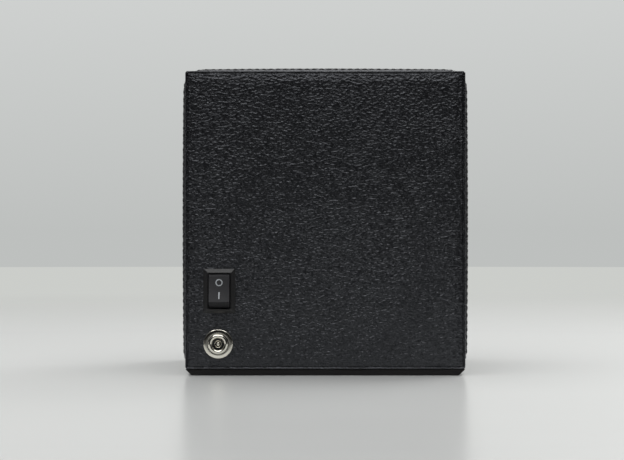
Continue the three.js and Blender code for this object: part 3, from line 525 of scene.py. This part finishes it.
def spacing(half, step, edge):
    """Positions from -half to half: given fine steps at the ends, even ones between."""
    inner = half - edge[-1]
    count = max(2, round(2 * inner / step))
    middle = [-inner + 2 * inner * i / count for i in range(count + 1)]
    ends = [half - d for d in edge[:-1]]
    return [-e for e in ends] + middle + ends[::-1]


def to_rounded(u, v, half_u, half_v, corner):
    """Moves grid points in a corner square onto a quarter disc."""
    a, b = abs(u) - (half_u - corner), abs(v) - (half_v - corner)
    if a <= 0 or b <= 0:
        return u, v
    a, b = a / corner, b / corner
    a2 = a * math.sqrt(1 - b * b / 2)
    b2 = b * math.sqrt(1 - a * a / 2)
    return (
        math.copysign(half_u - corner + a2 * corner, u),
        math.copysign(half_v - corner + b2 * corner, v),
    )


def edge_distance(u, v, half_u, half_v, corner):
    """Distance in from the outline of a rounded rectangle."""
    a, b = abs(u) - (half_u - corner), abs(v) - (half_v - corner)
    if a > 0 and b > 0:
        return corner - math.hypot(a, b)
    return min(half_u - abs(u), half_v - abs(v))


# Distances in from the outline at which a panel's grid has lines, fine over bead and seam.
EDGE_STEPS = [0, 0.05, 0.15, 0.3, 0.5, 0.7, 0.85, 1.0, 1.15, 1.3, 1.5, 1.75, 2.1, 2.55]


def grid_border(rows, columns):
    """Indices of the points round the edge of a grid, in walking order."""
    loop = list(range(columns))
    loop += [i * columns + columns - 1 for i in range(1, rows)]
    loop += [(rows - 1) * columns + j for j in range(columns - 2, -1, -1)]
    loop += [i * columns for i in range(rows - 2, 0, -1)]
    return loop


def panel(name, half_u, half_v, corner, height, base, to_world, step=0.62):
    """Closed padded panel over a rounded rectangle; height(u, v, d) gives its face."""
    us = spacing(half_u, step, EDGE_STEPS)
    vs = spacing(half_v, step, EDGE_STEPS)
    points, faces = [], []
    for u in us:
        for v in vs:
            a, b = to_rounded(u, v, half_u, half_v, corner)
            d = max(0.0, edge_distance(a, b, half_u, half_v, corner))
            points.append(to_world(a, b, height(a, b, d)))
    rows, columns = len(us), len(vs)
    for i in range(rows - 1):
        for j in range(columns - 1):
            a = i * columns + j
            faces.append((a, a + columns, a + columns + 1, a + 1))
    loop = grid_border(rows, columns)
    start, count = len(points), len(loop)
    for index in loop:
        u, v = us[index // columns], vs[index % columns]
        a, b = to_rounded(u, v, half_u, half_v, corner)
        points.append(to_world(a, b, base))
    for k in range(count):
        m = (k + 1) % count
        faces.append((loop[k], loop[m], start + m, start + k))
    faces.append(tuple(start + k for k in range(count)))
    return piece_from(name, points, faces, RELIEF_LEATHER)


def arch(d, radius):
    """Quarter-round rise from 0 at the outline to 1 at the given radius."""
    if d >= radius:
        return 1.0
    return math.sqrt(max(0.0, 1 - (1 - d / radius) ** 2))


def dip(d, middle, width):
    """Smooth groove profile, 1 in the middle and 0 outside its width."""
    t = abs(d - middle) / width
    return 0.0 if t >= 1 else (1 - t * t) ** 2


def smooth(t):
    """Soft step, 0 up to t = 0 and 1 from t = 1 on."""
    t = max(0.0, min(1.0, t))
    return t * t * (3 - 2 * t)


# ---- stitching
def capsule(length, radius):
    """Points and faces of a stitch lying along +X."""
    around = 8
    tip = [(1.0, 0.25), (0.86, 0.72), (0.5, 0.98)]  # shares of half the length and of the radius
    rings = [(-x, r) for x, r in tip] + [(0.0, 1.0)] + tip[::-1]
    points = [
        (x * length / 2, r * radius * c, r * radius * s)
        for x, r in rings
        for c, s in circle(around)
    ]
    lids = [lid(0, around)[::-1], lid(len(rings) - 1, around)]
    return points, tube_faces(len(rings), around) + lids


def stitches(name, spots, length=2.4, radius=0.4):
    """One object holding a stitch at each (place, direction, outward normal)."""
    unevenness, bend = 0.10, 0.16
    shape, shape_faces = capsule(length, radius)
    points, faces = [], []
    for k, (spot, direction, normal) in enumerate(spots):
        sag = unevenness * noise.noise(Vector((k * 1.7, 0.3, 4.1)))
        x = (direction + normal * sag).normalized()
        z = (normal - x * normal.dot(x)).normalized()
        y = z.cross(x)
        start = len(points)
        for px, py, pz in shape:
            arc = -bend * (2 * px / length) ** 2
            points.append(tuple(spot + x * px + y * py + z * (pz + arc)))
        faces.extend(tuple(start + i for i in face) for face in shape_faces)
    return piece_from(name, points, faces, THREAD)


def walk_outline(half_u, half_v, corner, pitch):
    """Even steps round a rounded rectangle: (u, v, direction) every pitch."""
    straight_u, straight_v = 2 * (half_u - corner), 2 * (half_v - corner)
    arc = math.pi / 2 * corner
    total = 2 * (straight_u + straight_v) + 4 * arc
    count = round(total / pitch)
    walked = [(k + 0.5) * total / count for k in range(count)]
    return [point_on_outline(s, half_u, half_v, corner) for s in walked]


def point_on_outline(s, half_u, half_v, corner):
    """Place and direction at a length s along a rounded rectangle."""
    arc = math.pi / 2 * corner
    flat_u, flat_v = half_u - corner, half_v - corner
    sides = [
        ((half_u, -flat_v), (0, 1), 2 * flat_v),
        ((flat_u, half_v), (-1, 0), 2 * flat_u),
        ((-half_u, flat_v), (0, -1), 2 * flat_v),
        ((-flat_u, -half_v), (1, 0), 2 * flat_u),
    ]
    for quarter, (start, way, length) in enumerate(sides):
        if s <= length:
            return start[0] + way[0] * s, start[1] + way[1] * s, way
        s -= length
        if s <= arc:
            turn = quarter * math.pi / 2 + s / corner
            end = (start[0] + way[0] * length, start[1] + way[1] * length)
            inward = (-way[1], way[0])
            cx, cy = end[0] + inward[0] * corner, end[1] + inward[1] * corner
            u = cx + corner * math.cos(turn)
            v = cy + corner * math.sin(turn)
            return u, v, (-math.sin(turn), math.cos(turn))
        s -= arc
    return sides[0][0][0], sides[0][0][1], (0, 1)


# ---- rear panel
def make_rear_panel():
    """Rear leather: a narrow bead round the edge, a groove inside it, then the padded face."""
    corner, back, grid = 1.2, 64.0, 0.38
    bead_width, bead_height = 0.75, 1.2
    groove_at, groove_width, groove_depth = 1.05, 0.55, 0.4
    slack_from, slack_width, slack_depth = 1.1, 4.2, 0.5
    belly_edge, belly_height = 12, 0.15

    def height(u, v, d):
        bead = REAR_Y - bead_height + bead_height * arch(d, bead_width)
        groove = groove_depth * dip(d, groove_at, groove_width)
        slack = slack_depth * (1 - smooth((d - slack_from) / slack_width))
        belly = belly_height * noise.noise(Vector((u * 0.02, v * 0.02, 0.4)))
        return bead - groove - slack * smooth(d / bead_width) + belly * smooth(d / belly_edge)

    def to_world(u, v, h):
        return (u, h, CENTRE_Z + v)

    def inner(p):
        """Grain dies away over the bead."""
        d = edge_distance(p.x, p.z - CENTRE_Z, HALF_W, HALF_H, corner)
        return smooth((d - 0.4) / 1.4)

    rear = panel("rear_panel", HALF_W, HALF_H, corner, height, back, to_world, grid)
    emboss(rear, 0.26, inner)
    place(rear, "case", "rear_cover", slot="leather")


# ---- padded side panels
PAD_FRONT, PAD_REAR = -57.0, 70.0
PAD_HALF_DEPTH = (PAD_REAR - PAD_FRONT) / 2
PAD_MIDDLE_Y = (PAD_REAR + PAD_FRONT) / 2
PAD_ENDS = 3.2
PAD_CORNER = 4.0
SEAM = 1.7  # stitch line, in from the outline
STITCH_LIFT = 0.2


def pad_height(half_u, half_v):
    """Padding over the case side: a sloped rim, the sunk seam, then a low even swell."""
    rim_width, rim_height, rim_crown = 1.9, 0.95, 0.45
    end_height, end_width = 0.35, 6
    seam_depth, seam_width = 0.4, 1.0
    swell_height, swell_from, swell_width = 0.55, 3, 20
    ripple_height, ripple_edge = 0.05, 3

    def height(u, v, d):
        bow = 1 - (u / half_u) ** 2
        taper = end_height + (1 - end_height) * smooth((half_u - abs(u)) / end_width)
        rim = (rim_height + rim_crown * bow) * min(1.0, d / rim_width) ** 0.9 * taper
        seam = seam_depth * dip(d, SEAM + 0.1, seam_width)
        spread = smooth((d - swell_from) / swell_width)
        swell = swell_height * bow * (1 - (v / half_v) ** 2) * spread
        ripple = ripple_height * noise.noise(Vector((u * 0.35, v * 0.35, d * 0.1)))
        return rim - seam + swell + ripple * smooth(d / ripple_edge)

    return height


def pad_grain(p):
    """Grain dies away toward the front and rear rims."""
    return 0.25 + 0.75 * smooth((PAD_HALF_DEPTH - abs(p.y - PAD_MIDDLE_Y)) / 2.5)


def make_pad(name, node, half_u, to_world, normal, u_way, v_way):
    height = pad_height(half_u, PAD_HALF_DEPTH)
    pad = panel(name, half_u, PAD_HALF_DEPTH, PAD_CORNER, height, -0.02, to_world)
    emboss(pad, 0.3, pad_grain)
    place(pad, "case", node, slot="leather")
    spots = []
    inner_u, inner_v = half_u - SEAM, PAD_HALF_DEPTH - SEAM
    for u, v, way in walk_outline(inner_u, inner_v, PAD_CORNER - SEAM + 0.6, STITCH_PITCH):
        spot = Vector(to_world(u, v, height(u, v, SEAM) + STITCH_LIFT))
        direction = (u_way * way[0] + v_way * way[1]).normalized()
        spots.append((spot, direction, normal))
    place(stitches(f"{name}_stitching", spots), "case", slot="leather")


def make_pads():
    side_u = HALF_H - PAD_ENDS
    top_u = HALF_W - PAD_ENDS
    x_way, y_way, z_way = Vector((1, 0, 0)), Vector((0, 1, 0)), Vector((0, 0, 1))

    def right(u, v, h):
        return (HALF_W + h, PAD_MIDDLE_Y + v, CENTRE_Z + u)

    def left(u, v, h):
        return (-HALF_W - h, PAD_MIDDLE_Y + v, CENTRE_Z + u)

    def top(u, v, h):
        return (u, PAD_MIDDLE_Y + v, CENTRE_Z + HALF_H + h)

    make_pad("right_pad", "side_panel_right", side_u, right, x_way, z_way, y_way)
    make_pad("left_pad", "side_panel_left", side_u, left, -x_way, z_way, y_way)
    make_pad("top_pad", "top_panel", top_u, top, z_way, x_way, y_way)


# ---- door frame
FRAME_WIDE = HALF_W - WINDOW[0]
FRAME_SEAM = 3.6  # stitch lines, in from both edges of the frame's face


def frame_profile():
    """Cross-section of the door frame as (inset from the case side, y), from its outer back
    edge over the stitched face and the glass rebate to its inner back edge."""
    rim = 1.8
    side_steps, rim_steps, face_steps = 10, 6, 22
    seam_depth, seam_width = 0.4, 1.0
    lip_y, rebate_y, rebate_width = -69.6, -68.5, 3.25
    rows = []
    for k in range(side_steps + 1):
        rows.append((0.0, DOOR_BACK + (DOOR_Y + rim - DOOR_BACK) * k / side_steps))
    for k in range(1, rim_steps + 1):
        turn = math.pi / 2 * k / rim_steps
        rows.append((rim * (1 - math.cos(turn)), DOOR_Y + rim * (1 - math.sin(turn))))
    inner = FRAME_WIDE - rim
    for k in range(1, face_steps):
        d = rim + (inner - rim) * k / face_steps
        outer_seam = dip(d, FRAME_SEAM, seam_width)
        inner_seam = dip(FRAME_WIDE - d, FRAME_SEAM, seam_width)
        rows.append((d, DOOR_Y + seam_depth * (outer_seam + inner_seam)))
    for k in range(rim_steps + 1):
        turn = math.pi / 2 * k / rim_steps
        rows.append((inner + rim * math.sin(turn), DOOR_Y + rim * (1 - math.cos(turn))))
    rows.append((FRAME_WIDE, lip_y))
    rows.append((FRAME_WIDE, rebate_y))
    rows.append((FRAME_WIDE - rebate_width, rebate_y))
    rows.append((FRAME_WIDE - rebate_width, DOOR_BACK))
    return rows


def outline_points(half_u, half_v, corner, along):
    """Outline with the same number of points whatever its size, evenly cut side by side."""
    corner_steps = 5
    points = []
    for side in range(4):
        turn = side * math.pi / 2
        c, s = math.cos(turn), math.sin(turn)
        flat = (half_v if side % 2 == 0 else half_u) - corner
        reach = half_u if side % 2 == 0 else half_v
        outline = [(reach, -flat + 2 * flat * k / along) for k in range(along)]
        for k in range(corner_steps):
            a = math.pi / 2 * k / corner_steps
            outline.append((reach - corner + corner * math.cos(a), flat + corner * math.sin(a)))
        points.extend((x * c - y * s, x * s + y * c) for x, y in outline)
    return points


def make_door_frame():
    """Leather frame of the door, with a groove along each mitred corner of its face."""
    along = 190
    mitre_depth, mitre_width, face_depth = 0.3, 0.8, 1.2
    rows = frame_profile()
    points = []
    for inset, y in rows:
        half_u, half_v = HALF_W - inset, HALF_H - inset
        corner = max(0.5, 1.6 - inset * 0.1)
        on_face = y < DOOR_Y + face_depth
        for u, v in outline_points(half_u, half_v, corner, along):
            mitre = abs((HALF_W - abs(u)) - (HALF_H - abs(v)))
            groove = mitre_depth * dip(mitre, 0.0, mitre_width) if on_face else 0.0
            points.append((u, y + groove, CENTRE_Z + v))
    faces = tube_faces(len(rows), len(points) // len(rows), closed=True)
    door = piece_from("door_leather_frame", points, faces, RELIEF_LEATHER)
    emboss(door, 0.26, door_grain)
    place(door, "door", "door_frame", slot="leather")


def door_grain(p):
    """Grain dies away down the sides of the door, behind its face."""
    return smooth((-66.5 - p.y) / 1.5)


def make_door_stitching():
    spots = []
    for inset in (FRAME_SEAM, FRAME_WIDE - FRAME_SEAM):
        half_u, half_v = HALF_W - inset, HALF_H - inset
        for u, v, way in walk_outline(half_u, half_v, 1.2, STITCH_PITCH):
            spot = Vector((u, DOOR_Y + 0.04, CENTRE_Z + v))
            spots.append((spot, Vector((way[0], 0, way[1])), Vector((0, -1, 0))))
    place(stitches("door_stitching", spots), "door", slot="leather")


# ---- front opening and drum
def make_faceplate():
    """Leather plate from the round opening out to the case's inner walls."""
    half_w, half_h, opening = 59.75, 64.0, 50.0
    front, back = -56.0, -53.0
    around, across = 160, 10
    tiny = 1e-9
    rays = [
        (c, s, min(half_w / max(abs(c), tiny), half_h / max(abs(s), tiny)))
        for c, s in circle(around)
    ]
    rows = [(0.0, back)] + [(i / across, front) for i in range(across + 1)] + [(1.0, back)]
    points = []
    for share, y in rows:
        for c, s, reach in rays:
            r = opening + (reach - opening) * share
            points.append((c * r, y, CENTRE_Z + s * r))
    faces = tube_faces(len(rows), around, closed=True)
    plate = piece_from("front_surround", points, faces, LEATHER)
    bevel(plate, 0.3)
    place(plate, "case", "front_faceplate", slot="leather")


def make_drum():
    """Trim round the opening, and the turning cup with its suede lining."""
    steps = 160
    trim = [(50.2, -56.0), (50.2, -57.5), (51.9, -57.35), (53.6, -56.6), (53.6, -56.0)]
    ring = lathe("opening_trim", DRUM_AXIS, rounded(trim, 0.5), NICKEL, steps)
    place(ring, "case", "trim_ring", slot="nickel")
    cup = [
        (0, 0.5), (4.1, 0.5), (4.1, 3), (10, 3), (10, 0), (49.5, 0), (49.5, -52),
        (47.5, -52), (47.5, -3), (0, -3),
    ]
    drum = lathe("winder_drum", DRUM_AXIS, rounded(cup, 0.5), BLACK, steps)
    place(drum, "drum", "drum_cup", slot="black_plastic")
    lining = [(0, -3), (47.3, -3), (47.3, -51), (46.3, -51), (46.3, -4), (0, -4)]
    suede = lathe("drum_suede_lining", DRUM_AXIS, rounded(lining, 0.9), SUEDE, steps)
    place(suede, "drum", "drum_lining", slot="suede")


# ---- switch marks
UPPER, LOWER = 1, -1
INK_SUNK, INK_PROUD = -0.01, 0.04


def rocker_face(side):
    """Middle, right, up and outward directions of the upper or lower face of the rocker."""
    pivot = Vector((SWITCH[0], REAR_Y - 0.5, SWITCH[1]))
    reach, crest, valley = 8, math.radians(38.8), 4.2
    turn = Matrix.Rotation(math.radians(12), 3, "X")
    end = turn @ Vector((0, reach * math.sin(crest), side * reach * math.cos(crest)))
    start = turn @ Vector((0, valley, 0))
    up = (end - start).normalized() * side
    normal = Vector((0, up.z, -up.y))
    return pivot + (start + end) / 2, up.cross(normal), up, normal


def make_off_mark():
    """O on the half that is pressed."""
    middle, right, up, normal = rocker_face(UPPER)
    inner, outer, steps = 1.2, 1.66, 48
    rings = [(inner, INK_SUNK), (inner, INK_PROUD), (outer, INK_PROUD), (outer, INK_SUNK)]
    points = [
        tuple(middle + (right * radius * c + up * radius * s) + normal * lift)
        for radius, lift in rings
        for c, s in circle(steps)
    ]
    faces = tube_faces(len(rings), steps, closed=True)
    place(piece_from("switch_mark_off", points, faces, PRINT, False), "rocker")


def make_on_mark():
    """I on the half that stands out."""
    middle, right, up, normal = rocker_face(LOWER)
    half_w, half_h, corner = 0.28, 1.7, 0.1
    outline = outline_points(half_w, half_h, corner, 2)
    points = [
        tuple(middle + right * u + up * v + normal * lift)
        for lift in (INK_SUNK, INK_PROUD)
        for u, v in outline
    ]
    count = len(outline)
    faces = [lid(0, count), lid(1, count)] + tube_faces(2, count)
    place(piece_from("switch_mark_on", points, faces, PRINT, False), "rocker")


# ---- power jack
def make_jack():
    """Power socket: round-nosed collar, flat nut, centre pin and its contact sleeve."""
    face = REAR_Y + 3.9
    nose_steps, nose_radius, nose_width, nose_depth = 12, 3.8, 1.05, 1.1
    collar = []
    for k in range(nose_steps + 1):
        turn = math.pi * k / nose_steps
        y = face - nose_depth + nose_depth * math.sin(turn)
        collar.append((nose_radius - nose_width * math.cos(turn), y))
    body = [(0, 60), (2.75, 60), *collar, (4.85, 64), (5.55, 64), (5.55, 50), (0, 50)]
    nut = [
        (4.95, REAR_Y), (6.95, REAR_Y), (6.95, REAR_Y + 0.75), (6.88, REAR_Y + 0.95),
        (6.72, REAR_Y + 1.1), (6.55, REAR_Y + 1.16), (4.95, REAR_Y + 1.26),
    ]
    pin = [(0, 60), (1.05, 60), (1.05, face - 2.6), (0.7, face - 2.05), (0, face - 2)]
    socket = lathe("jack_socket", JACK, body, NICKEL)
    place(socket, "case", "jack_body", slot="nickel")
    flange = lathe("jack_flange", JACK, rounded(nut, 0.04), NICKEL)
    place(flange, "case", "jack_nut", slot="nickel")
    place(lathe("jack_centre_pin", JACK, pin, NICKEL, 48), "case", "jack_pin", slot="nickel")
    sleeve = [(1.4, 60.2), (1.75, 60.2), (1.75, face - 2.2), (1.58, face - 2.05), (1.4, face - 2.2)]
    contact = lathe("jack_contact_sleeve", JACK, rounded(sleeve, 0.03), NICKEL, 48)
    place(contact, "case", slot="nickel")


def make_door_pull():
    x = (WINDOW[0] + HALF_W) / 2
    profile = [
        (0, DOOR_Y + 0.3), (2.2, DOOR_Y + 0.3), (2.2, DOOR_Y - 1.5), (4, DOOR_Y - 2.5),
        (4, DOOR_Y - 4.25), (3.3, DOOR_Y - 5), (0, DOOR_Y - 5),
    ]
    knob = lathe("door_knob", (x, CENTRE_Z), rounded(profile, 0.5), NICKEL)
    place(knob, "door", "door_pull", slot="nickel")


# ---- cushion
CUSHION_HALF = (31.0, 24.0)
CUSHION_Y = (-48.0, -36.0)
CUSHION_CORNER = 5
CUSHION_SEAM = -39.6


def pulled_in(u, v):
    """Draws the sides of the cushion in between its corners."""
    side_pull, end_pull = 0.05, 0.065
    across, up = u / CUSHION_HALF[0], v / CUSHION_HALF[1]
    return u * (1 - side_pull * (1 - up * up)), v * (1 - end_pull * (1 - across * across))


def cushion_base():
    """Undersized crowned block the pad swells from, as (inset, y) rows from the back."""
    rows = [
        (4.4, -36.6), (2.4, -37.6), (1.5, -39.2), (1.6, -41.4), (2.9, -43.4),
        (6.2, -44.8), (11.0, -45.7), (16.5, -46.1),
    ]
    points = []
    for inset, y in rows:
        half_u, half_v = CUSHION_HALF[0] - inset, CUSHION_HALF[1] - inset
        outline = outline_points(half_u, half_v, CUSHION_CORNER, 10)
        points.extend((u, y, CENTRE_Z + v) for u, v in (pulled_in(*spot) for spot in outline))
    around = len(points) // len(rows)
    faces = tube_faces(len(rows), around) + [lid(0, around), lid(len(rows) - 1, around)]
    return piece_from("watch_cushion", points, faces, CUSHION_SUEDE)


def apply_modifiers(piece):
    """Makes what the modifiers show the piece's own mesh."""
    graph = bpy.context.evaluated_depsgraph_get()
    mesh = bpy.data.meshes.new_from_object(piece.evaluated_get(graph))
    old = piece.data
    piece.modifiers.clear()
    piece.data = mesh
    bpy.data.meshes.remove(old)


def inflate(piece, voxel, pressure, cap):
    """Remeshes a closed form and swells it with a short cloth simulation."""
    remesh = piece.modifiers.new("remesh", "REMESH")
    remesh.mode = "VOXEL"
    remesh.voxel_size = voxel * MM
    apply_modifiers(piece)
    before = [v.co.copy() for v in piece.data.vertices]
    scale, last_step = 20.0, 20  # cloth settles well at furniture size
    for vertex in piece.data.vertices:
        vertex.co = vertex.co * scale
    cloth = piece.modifiers.new("cloth", "CLOTH")
    cloth.settings.use_pressure = True
    cloth.settings.uniform_pressure_force = pressure
    cloth.settings.effector_weights.gravity = 0
    cloth.settings.tension_stiffness = 18
    cloth.settings.bending_stiffness = 1.2
    scene = bpy.context.scene
    for number in range(1, last_step + 1):
        scene.frame_set(number)
    apply_modifiers(piece)
    for vertex, start in zip(piece.data.vertices, before):
        moved = vertex.co / scale - start
        if moved.length > cap * MM:
            moved = moved.normalized() * cap * MM
        vertex.co = start + moved
    scene.frame_set(1)


def sew_cushion(cushion):
    """Sinks the side seam and leaves soft creases in the cloth beside it."""
    seam_depth, seam_width, crease_depth, crease_width, ease_depth = 0.75, 1.5, 0.35, 3.2, 0.2
    normals = [v.normal.copy() for v in cushion.data.vertices]
    for vertex, normal in zip(cushion.data.vertices, normals):
        p = vertex.co / MM
        turn = math.atan2(p.z - CENTRE_Z, p.x)
        near = math.exp(-(((p.y - CUSHION_SEAM) / crease_width) ** 2))
        crease = noise.noise(Vector((math.cos(turn) * 9, math.sin(turn) * 9, p.y * 0.12)))
        ease = noise.noise(p * 0.09)
        sunk = seam_depth * dip(p.y, CUSHION_SEAM, seam_width)
        vertex.co += normal * (crease_depth * near * crease + ease_depth * ease - sunk) * MM


def cushion_stitches(cushion):
    spots = []
    inset, pitch = 1.2, 2.6
    half_u, half_v = CUSHION_HALF[0] - inset, CUSHION_HALF[1] - inset
    for u, v, way in walk_outline(half_u, half_v, CUSHION_CORNER, pitch):
        a, b = pulled_in(u, v)
        aim = Vector((a, CUSHION_SEAM, CENTRE_Z + b)) * MM
        _, spot, normal, _ = cushion.closest_point_on_mesh(aim)
        spots.append((spot / MM + normal * 0.05, Vector((way[0], 0, way[1])), normal))
    return stitches("cushion_seam", spots, 1.9, 0.28)


def keep_to_size(cushion):
    """Holds the swollen cushion inside its full width, depth and height."""
    gap = 0.05
    low = Vector((-CUSHION_HALF[0], CUSHION_Y[0], CENTRE_Z - CUSHION_HALF[1])) * MM
    high = Vector((CUSHION_HALF[0], CUSHION_Y[1] - gap, CENTRE_Z + CUSHION_HALF[1])) * MM
    for vertex in cushion.data.vertices:
        for axis in range(3):
            vertex.co[axis] = min(max(vertex.co[axis], low[axis]), high[axis])


def make_cushion():
    cushion = cushion_base()
    inflate(cushion, voxel=1.6, pressure=3.0, cap=1.7)
    keep_to_size(cushion)
    smoother = cushion.modifiers.new("smooth", "SMOOTH")
    smoother.factor = 0.5
    smoother.iterations = 6
    subdivide = cushion.modifiers.new("subdivide", "SUBSURF")
    subdivide.levels = subdivide.render_levels = 1
    apply_modifiers(cushion)
    sew_cushion(cushion)
    cushion.data.polygons.foreach_set("use_smooth", [True] * len(cushion.data.polygons))
    place(cushion, "pillow_front", "cushion", slot="suede")
    place(cushion_stitches(cushion), "pillow_front", slot="suede")


# ---- springs
SPRING_Y = (-33.4, -10.8)


def coil_rise(t):
    """Share of a spring's length reached at a share t of its wire; the end turns lie closer."""
    end, slope = 0.08, 0.35
    if t < end:
        return t * slope
    if t > 1 - end:
        return 1 - (1 - t) * slope
    return end * slope + (t - end) / (1 - 2 * end) * (1 - 2 * end * slope)


def spring_wire(x):
    """Points and faces of a coil spring along Y at the given x."""
    turns, radius, wire = 6, 4.0, 0.42
    steps, around = 300, 8
    span = SPRING_Y[1] - SPRING_Y[0] - 2 * wire
    points = []
    for i in range(steps + 1):
        angle = 2 * math.pi * turns * (i / steps)
        c, s = math.cos(angle), math.sin(angle)
        y = SPRING_Y[0] + wire + span * coil_rise(i / steps)
        centre = Vector((x + radius * c, y, CENTRE_Z + radius * s))
        out = Vector((c, 0, s))
        for outward, along in circle(around):
            points.append(tuple(centre + out * wire * outward + Vector((0, wire * along, 0))))
    return points, tube_faces(steps + 1, around) + [lid(0, around), lid(steps, around)]


def make_springs():
    for x, side in ((-14, "left"), (14, "right")):
        coil = piece_from(f"pillow_coil_{side}", *spring_wire(x), STEEL)
        place(coil, "pillow", f"pillow_spring_{side}", slot="steel")
        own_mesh(coil)


# ---- carried-over CAD nodes
USUAL_BEVEL = 0.12
BEVELS = {
    "case_wrap": 0.5,
    "base_plate": 0.35,
    "rocker_button": 0.14,
    "door_glass": 0.3,
    "pillow_core": 0.5,
    "pillow_slider": 0.5,
    "pillow_cradle": 0.5,
    "circuit_board": 0.1,
    "terminal_block": 0.3,
    "carcass_shell": 0.2,
    "rear_board": 0.2,
    "mount_plate": 0.2,
    "drum_gear": 0.08,
    "idler_gear": 0.08,
    "motor_pinion": 0.06,
}
NODE_MATERIALS = {
    "switch_housing": SWITCH_BLACK,
    "rocker_button": ROCKER_BLACK,
    "base_plate": BASE_BLACK,
}


def shading_group():
    """Geometry nodes that drop the flat normals of a faceted solid and shade it smooth."""
    group = bpy.data.node_groups.new("smooth_shading", "GeometryNodeTree")
    for way in ("INPUT", "OUTPUT"):
        group.interface.new_socket("Geometry", in_out=way, socket_type="NodeSocketGeometry")
    start = group.nodes.new("NodeGroupInput")
    drop = group.nodes.new("GeometryNodeRemoveAttribute")
    drop.inputs["Name"].default_value = "custom_normal"
    shade = group.nodes.new("GeometryNodeSetShadeSmooth")
    end = group.nodes.new("NodeGroupOutput")
    group.links.new(start.outputs[0], drop.inputs["Geometry"])
    group.links.new(drop.outputs[0], shade.inputs["Geometry"])
    group.links.new(shade.outputs[0], end.inputs[0])
    return group


def dress_cad_nodes():
    """Gives every CAD node that still shows its material, smooth shading and rounded edges."""
    weld_distance = 2e-6
    slots = {s["node"]: s["material_slot"] for s in frame["record"]["subparts"]}
    shading = shading_group()
    for name, node in frame["nodes"].items():
        if node.hide_render:
            continue
        for slot in node.material_slots:
            slot.link = "OBJECT"
            slot.material = NODE_MATERIALS.get(name, SLOT_MATERIALS[slots[name]])
        node.modifiers.new("shading", "NODES").node_group = shading
        node.modifiers.new("weld", "WELD").merge_threshold = weld_distance
        bevel(node, BEVELS.get(name, USUAL_BEVEL))


# ---- studio
def make_floor():
    steps, radius = 96, 3.28
    mesh = bpy.data.meshes.new("studio_floor")
    rim = [(radius * c, radius * s, 0) for c, s in circle(steps)]
    mesh.from_pydata(rim, [], [tuple(range(steps))])
    new_object("studio_floor", mesh, floor_material())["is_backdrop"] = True


def make_world():
    """Pale backdrop for the camera; for light, a bright sweep behind and a dark room in front."""
    world = bpy.data.worlds.new("studio")
    bpy.context.scene.world = world
    n = Nodes(world)
    n.tree.nodes.clear()
    where = n.add("ShaderNodeTexCoord")
    split = n.add("ShaderNodeSeparateXYZ")
    n.link(where.outputs["Generated"], split.inputs[0])

    def ramp(axis, low, high, stops):
        node = n.add("ShaderNodeValToRGB")
        n.fill(node, Fac=n.remap(split.outputs[axis], low, high, 0.0, 1.0))
        elements = node.color_ramp.elements
        for index, (at, value) in enumerate(stops):
            element = elements[index] if index < 2 else elements.new(at)
            element.position = at
            element.color = (*value, 1) if isinstance(value, tuple) else (value,) * 3 + (1,)
        return node.outputs["Color"]

    seen = ramp("Z", 0, 0.12, [(0, (0.512, 0.527, 0.518)), (0.8, (0.62, 0.635, 0.627))])
    room = ramp("Z", 0, 1, [(0, 0.015), (0.45, 0.02), (0.62, 0.20), (1.0, 0.6)])
    sweep = ramp("Z", 0, 1, [(0, 0.65), (0.12, 0.57), (0.26, 0.05), (0.6, 0.2), (1.0, 0.6)])
    toward_camera = ramp("Y", 0.0, 0.5, [(0, 0.0), (1, 1.0)])
    lit = n.mix(toward_camera, sweep, room)
    background = n.add("ShaderNodeBackground")
    n.fill(background, Color=n.mix(n.looked_at(), lit, seen))
    output = n.add("ShaderNodeOutputWorld")
    n.link(background.outputs[0], output.inputs["Surface"])


def area_light(name, where, size, power):
    aim = Vector((0, 0, 0.08))
    data = bpy.data.lights.new(name, "AREA")
    data.shape = "RECTANGLE"
    data.size, data.size_y = size
    data.energy = power
    light = bpy.data.objects.new(name, data)
    light.location = where
    light.rotation_euler = (aim - Vector(where)).to_track_quat("-Z", "Y").to_euler()
    bpy.context.scene.collection.objects.link(light)


def make_lights():
    area_light("overhead", (0.0, -0.05, 1.5), (1.9, 1.9), 25)
    area_light("high_front", (0.15, 1.15, 1.3), (1.6, 0.7), 11)
    area_light("door_fill", (-0.9, -1.3, 1.1), (0.9, 0.9), 12)


def make_camera():
    """Long lens, level, straight on to the rear face."""
    distance, aside, height = 1.13, 0.0063, 0.0688
    data = bpy.data.cameras.new("camera")
    data.sensor_width = 36
    data.lens = 138
    camera = bpy.data.objects.new("camera", data)
    camera.location = (aside, REAR_Y * MM + distance, height)
    camera.rotation_euler = (math.radians(90), 0, math.radians(180))
    bpy.context.scene.collection.objects.link(camera)
    bpy.context.scene.camera = camera


bpy.context.scene.view_settings.view_transform = "Standard"
make_rear_panel()
make_pads()
make_door_frame()
make_door_stitching()
make_faceplate()
make_drum()
make_off_mark()
make_on_mark()
make_jack()
make_door_pull()
make_cushion()
make_springs()
dress_cad_nodes()
make_floor()
make_world()
make_lights()
make_camera()

shown_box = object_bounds()
[[list(corner) for corner in box] for box in (cad_box, shown_box)]
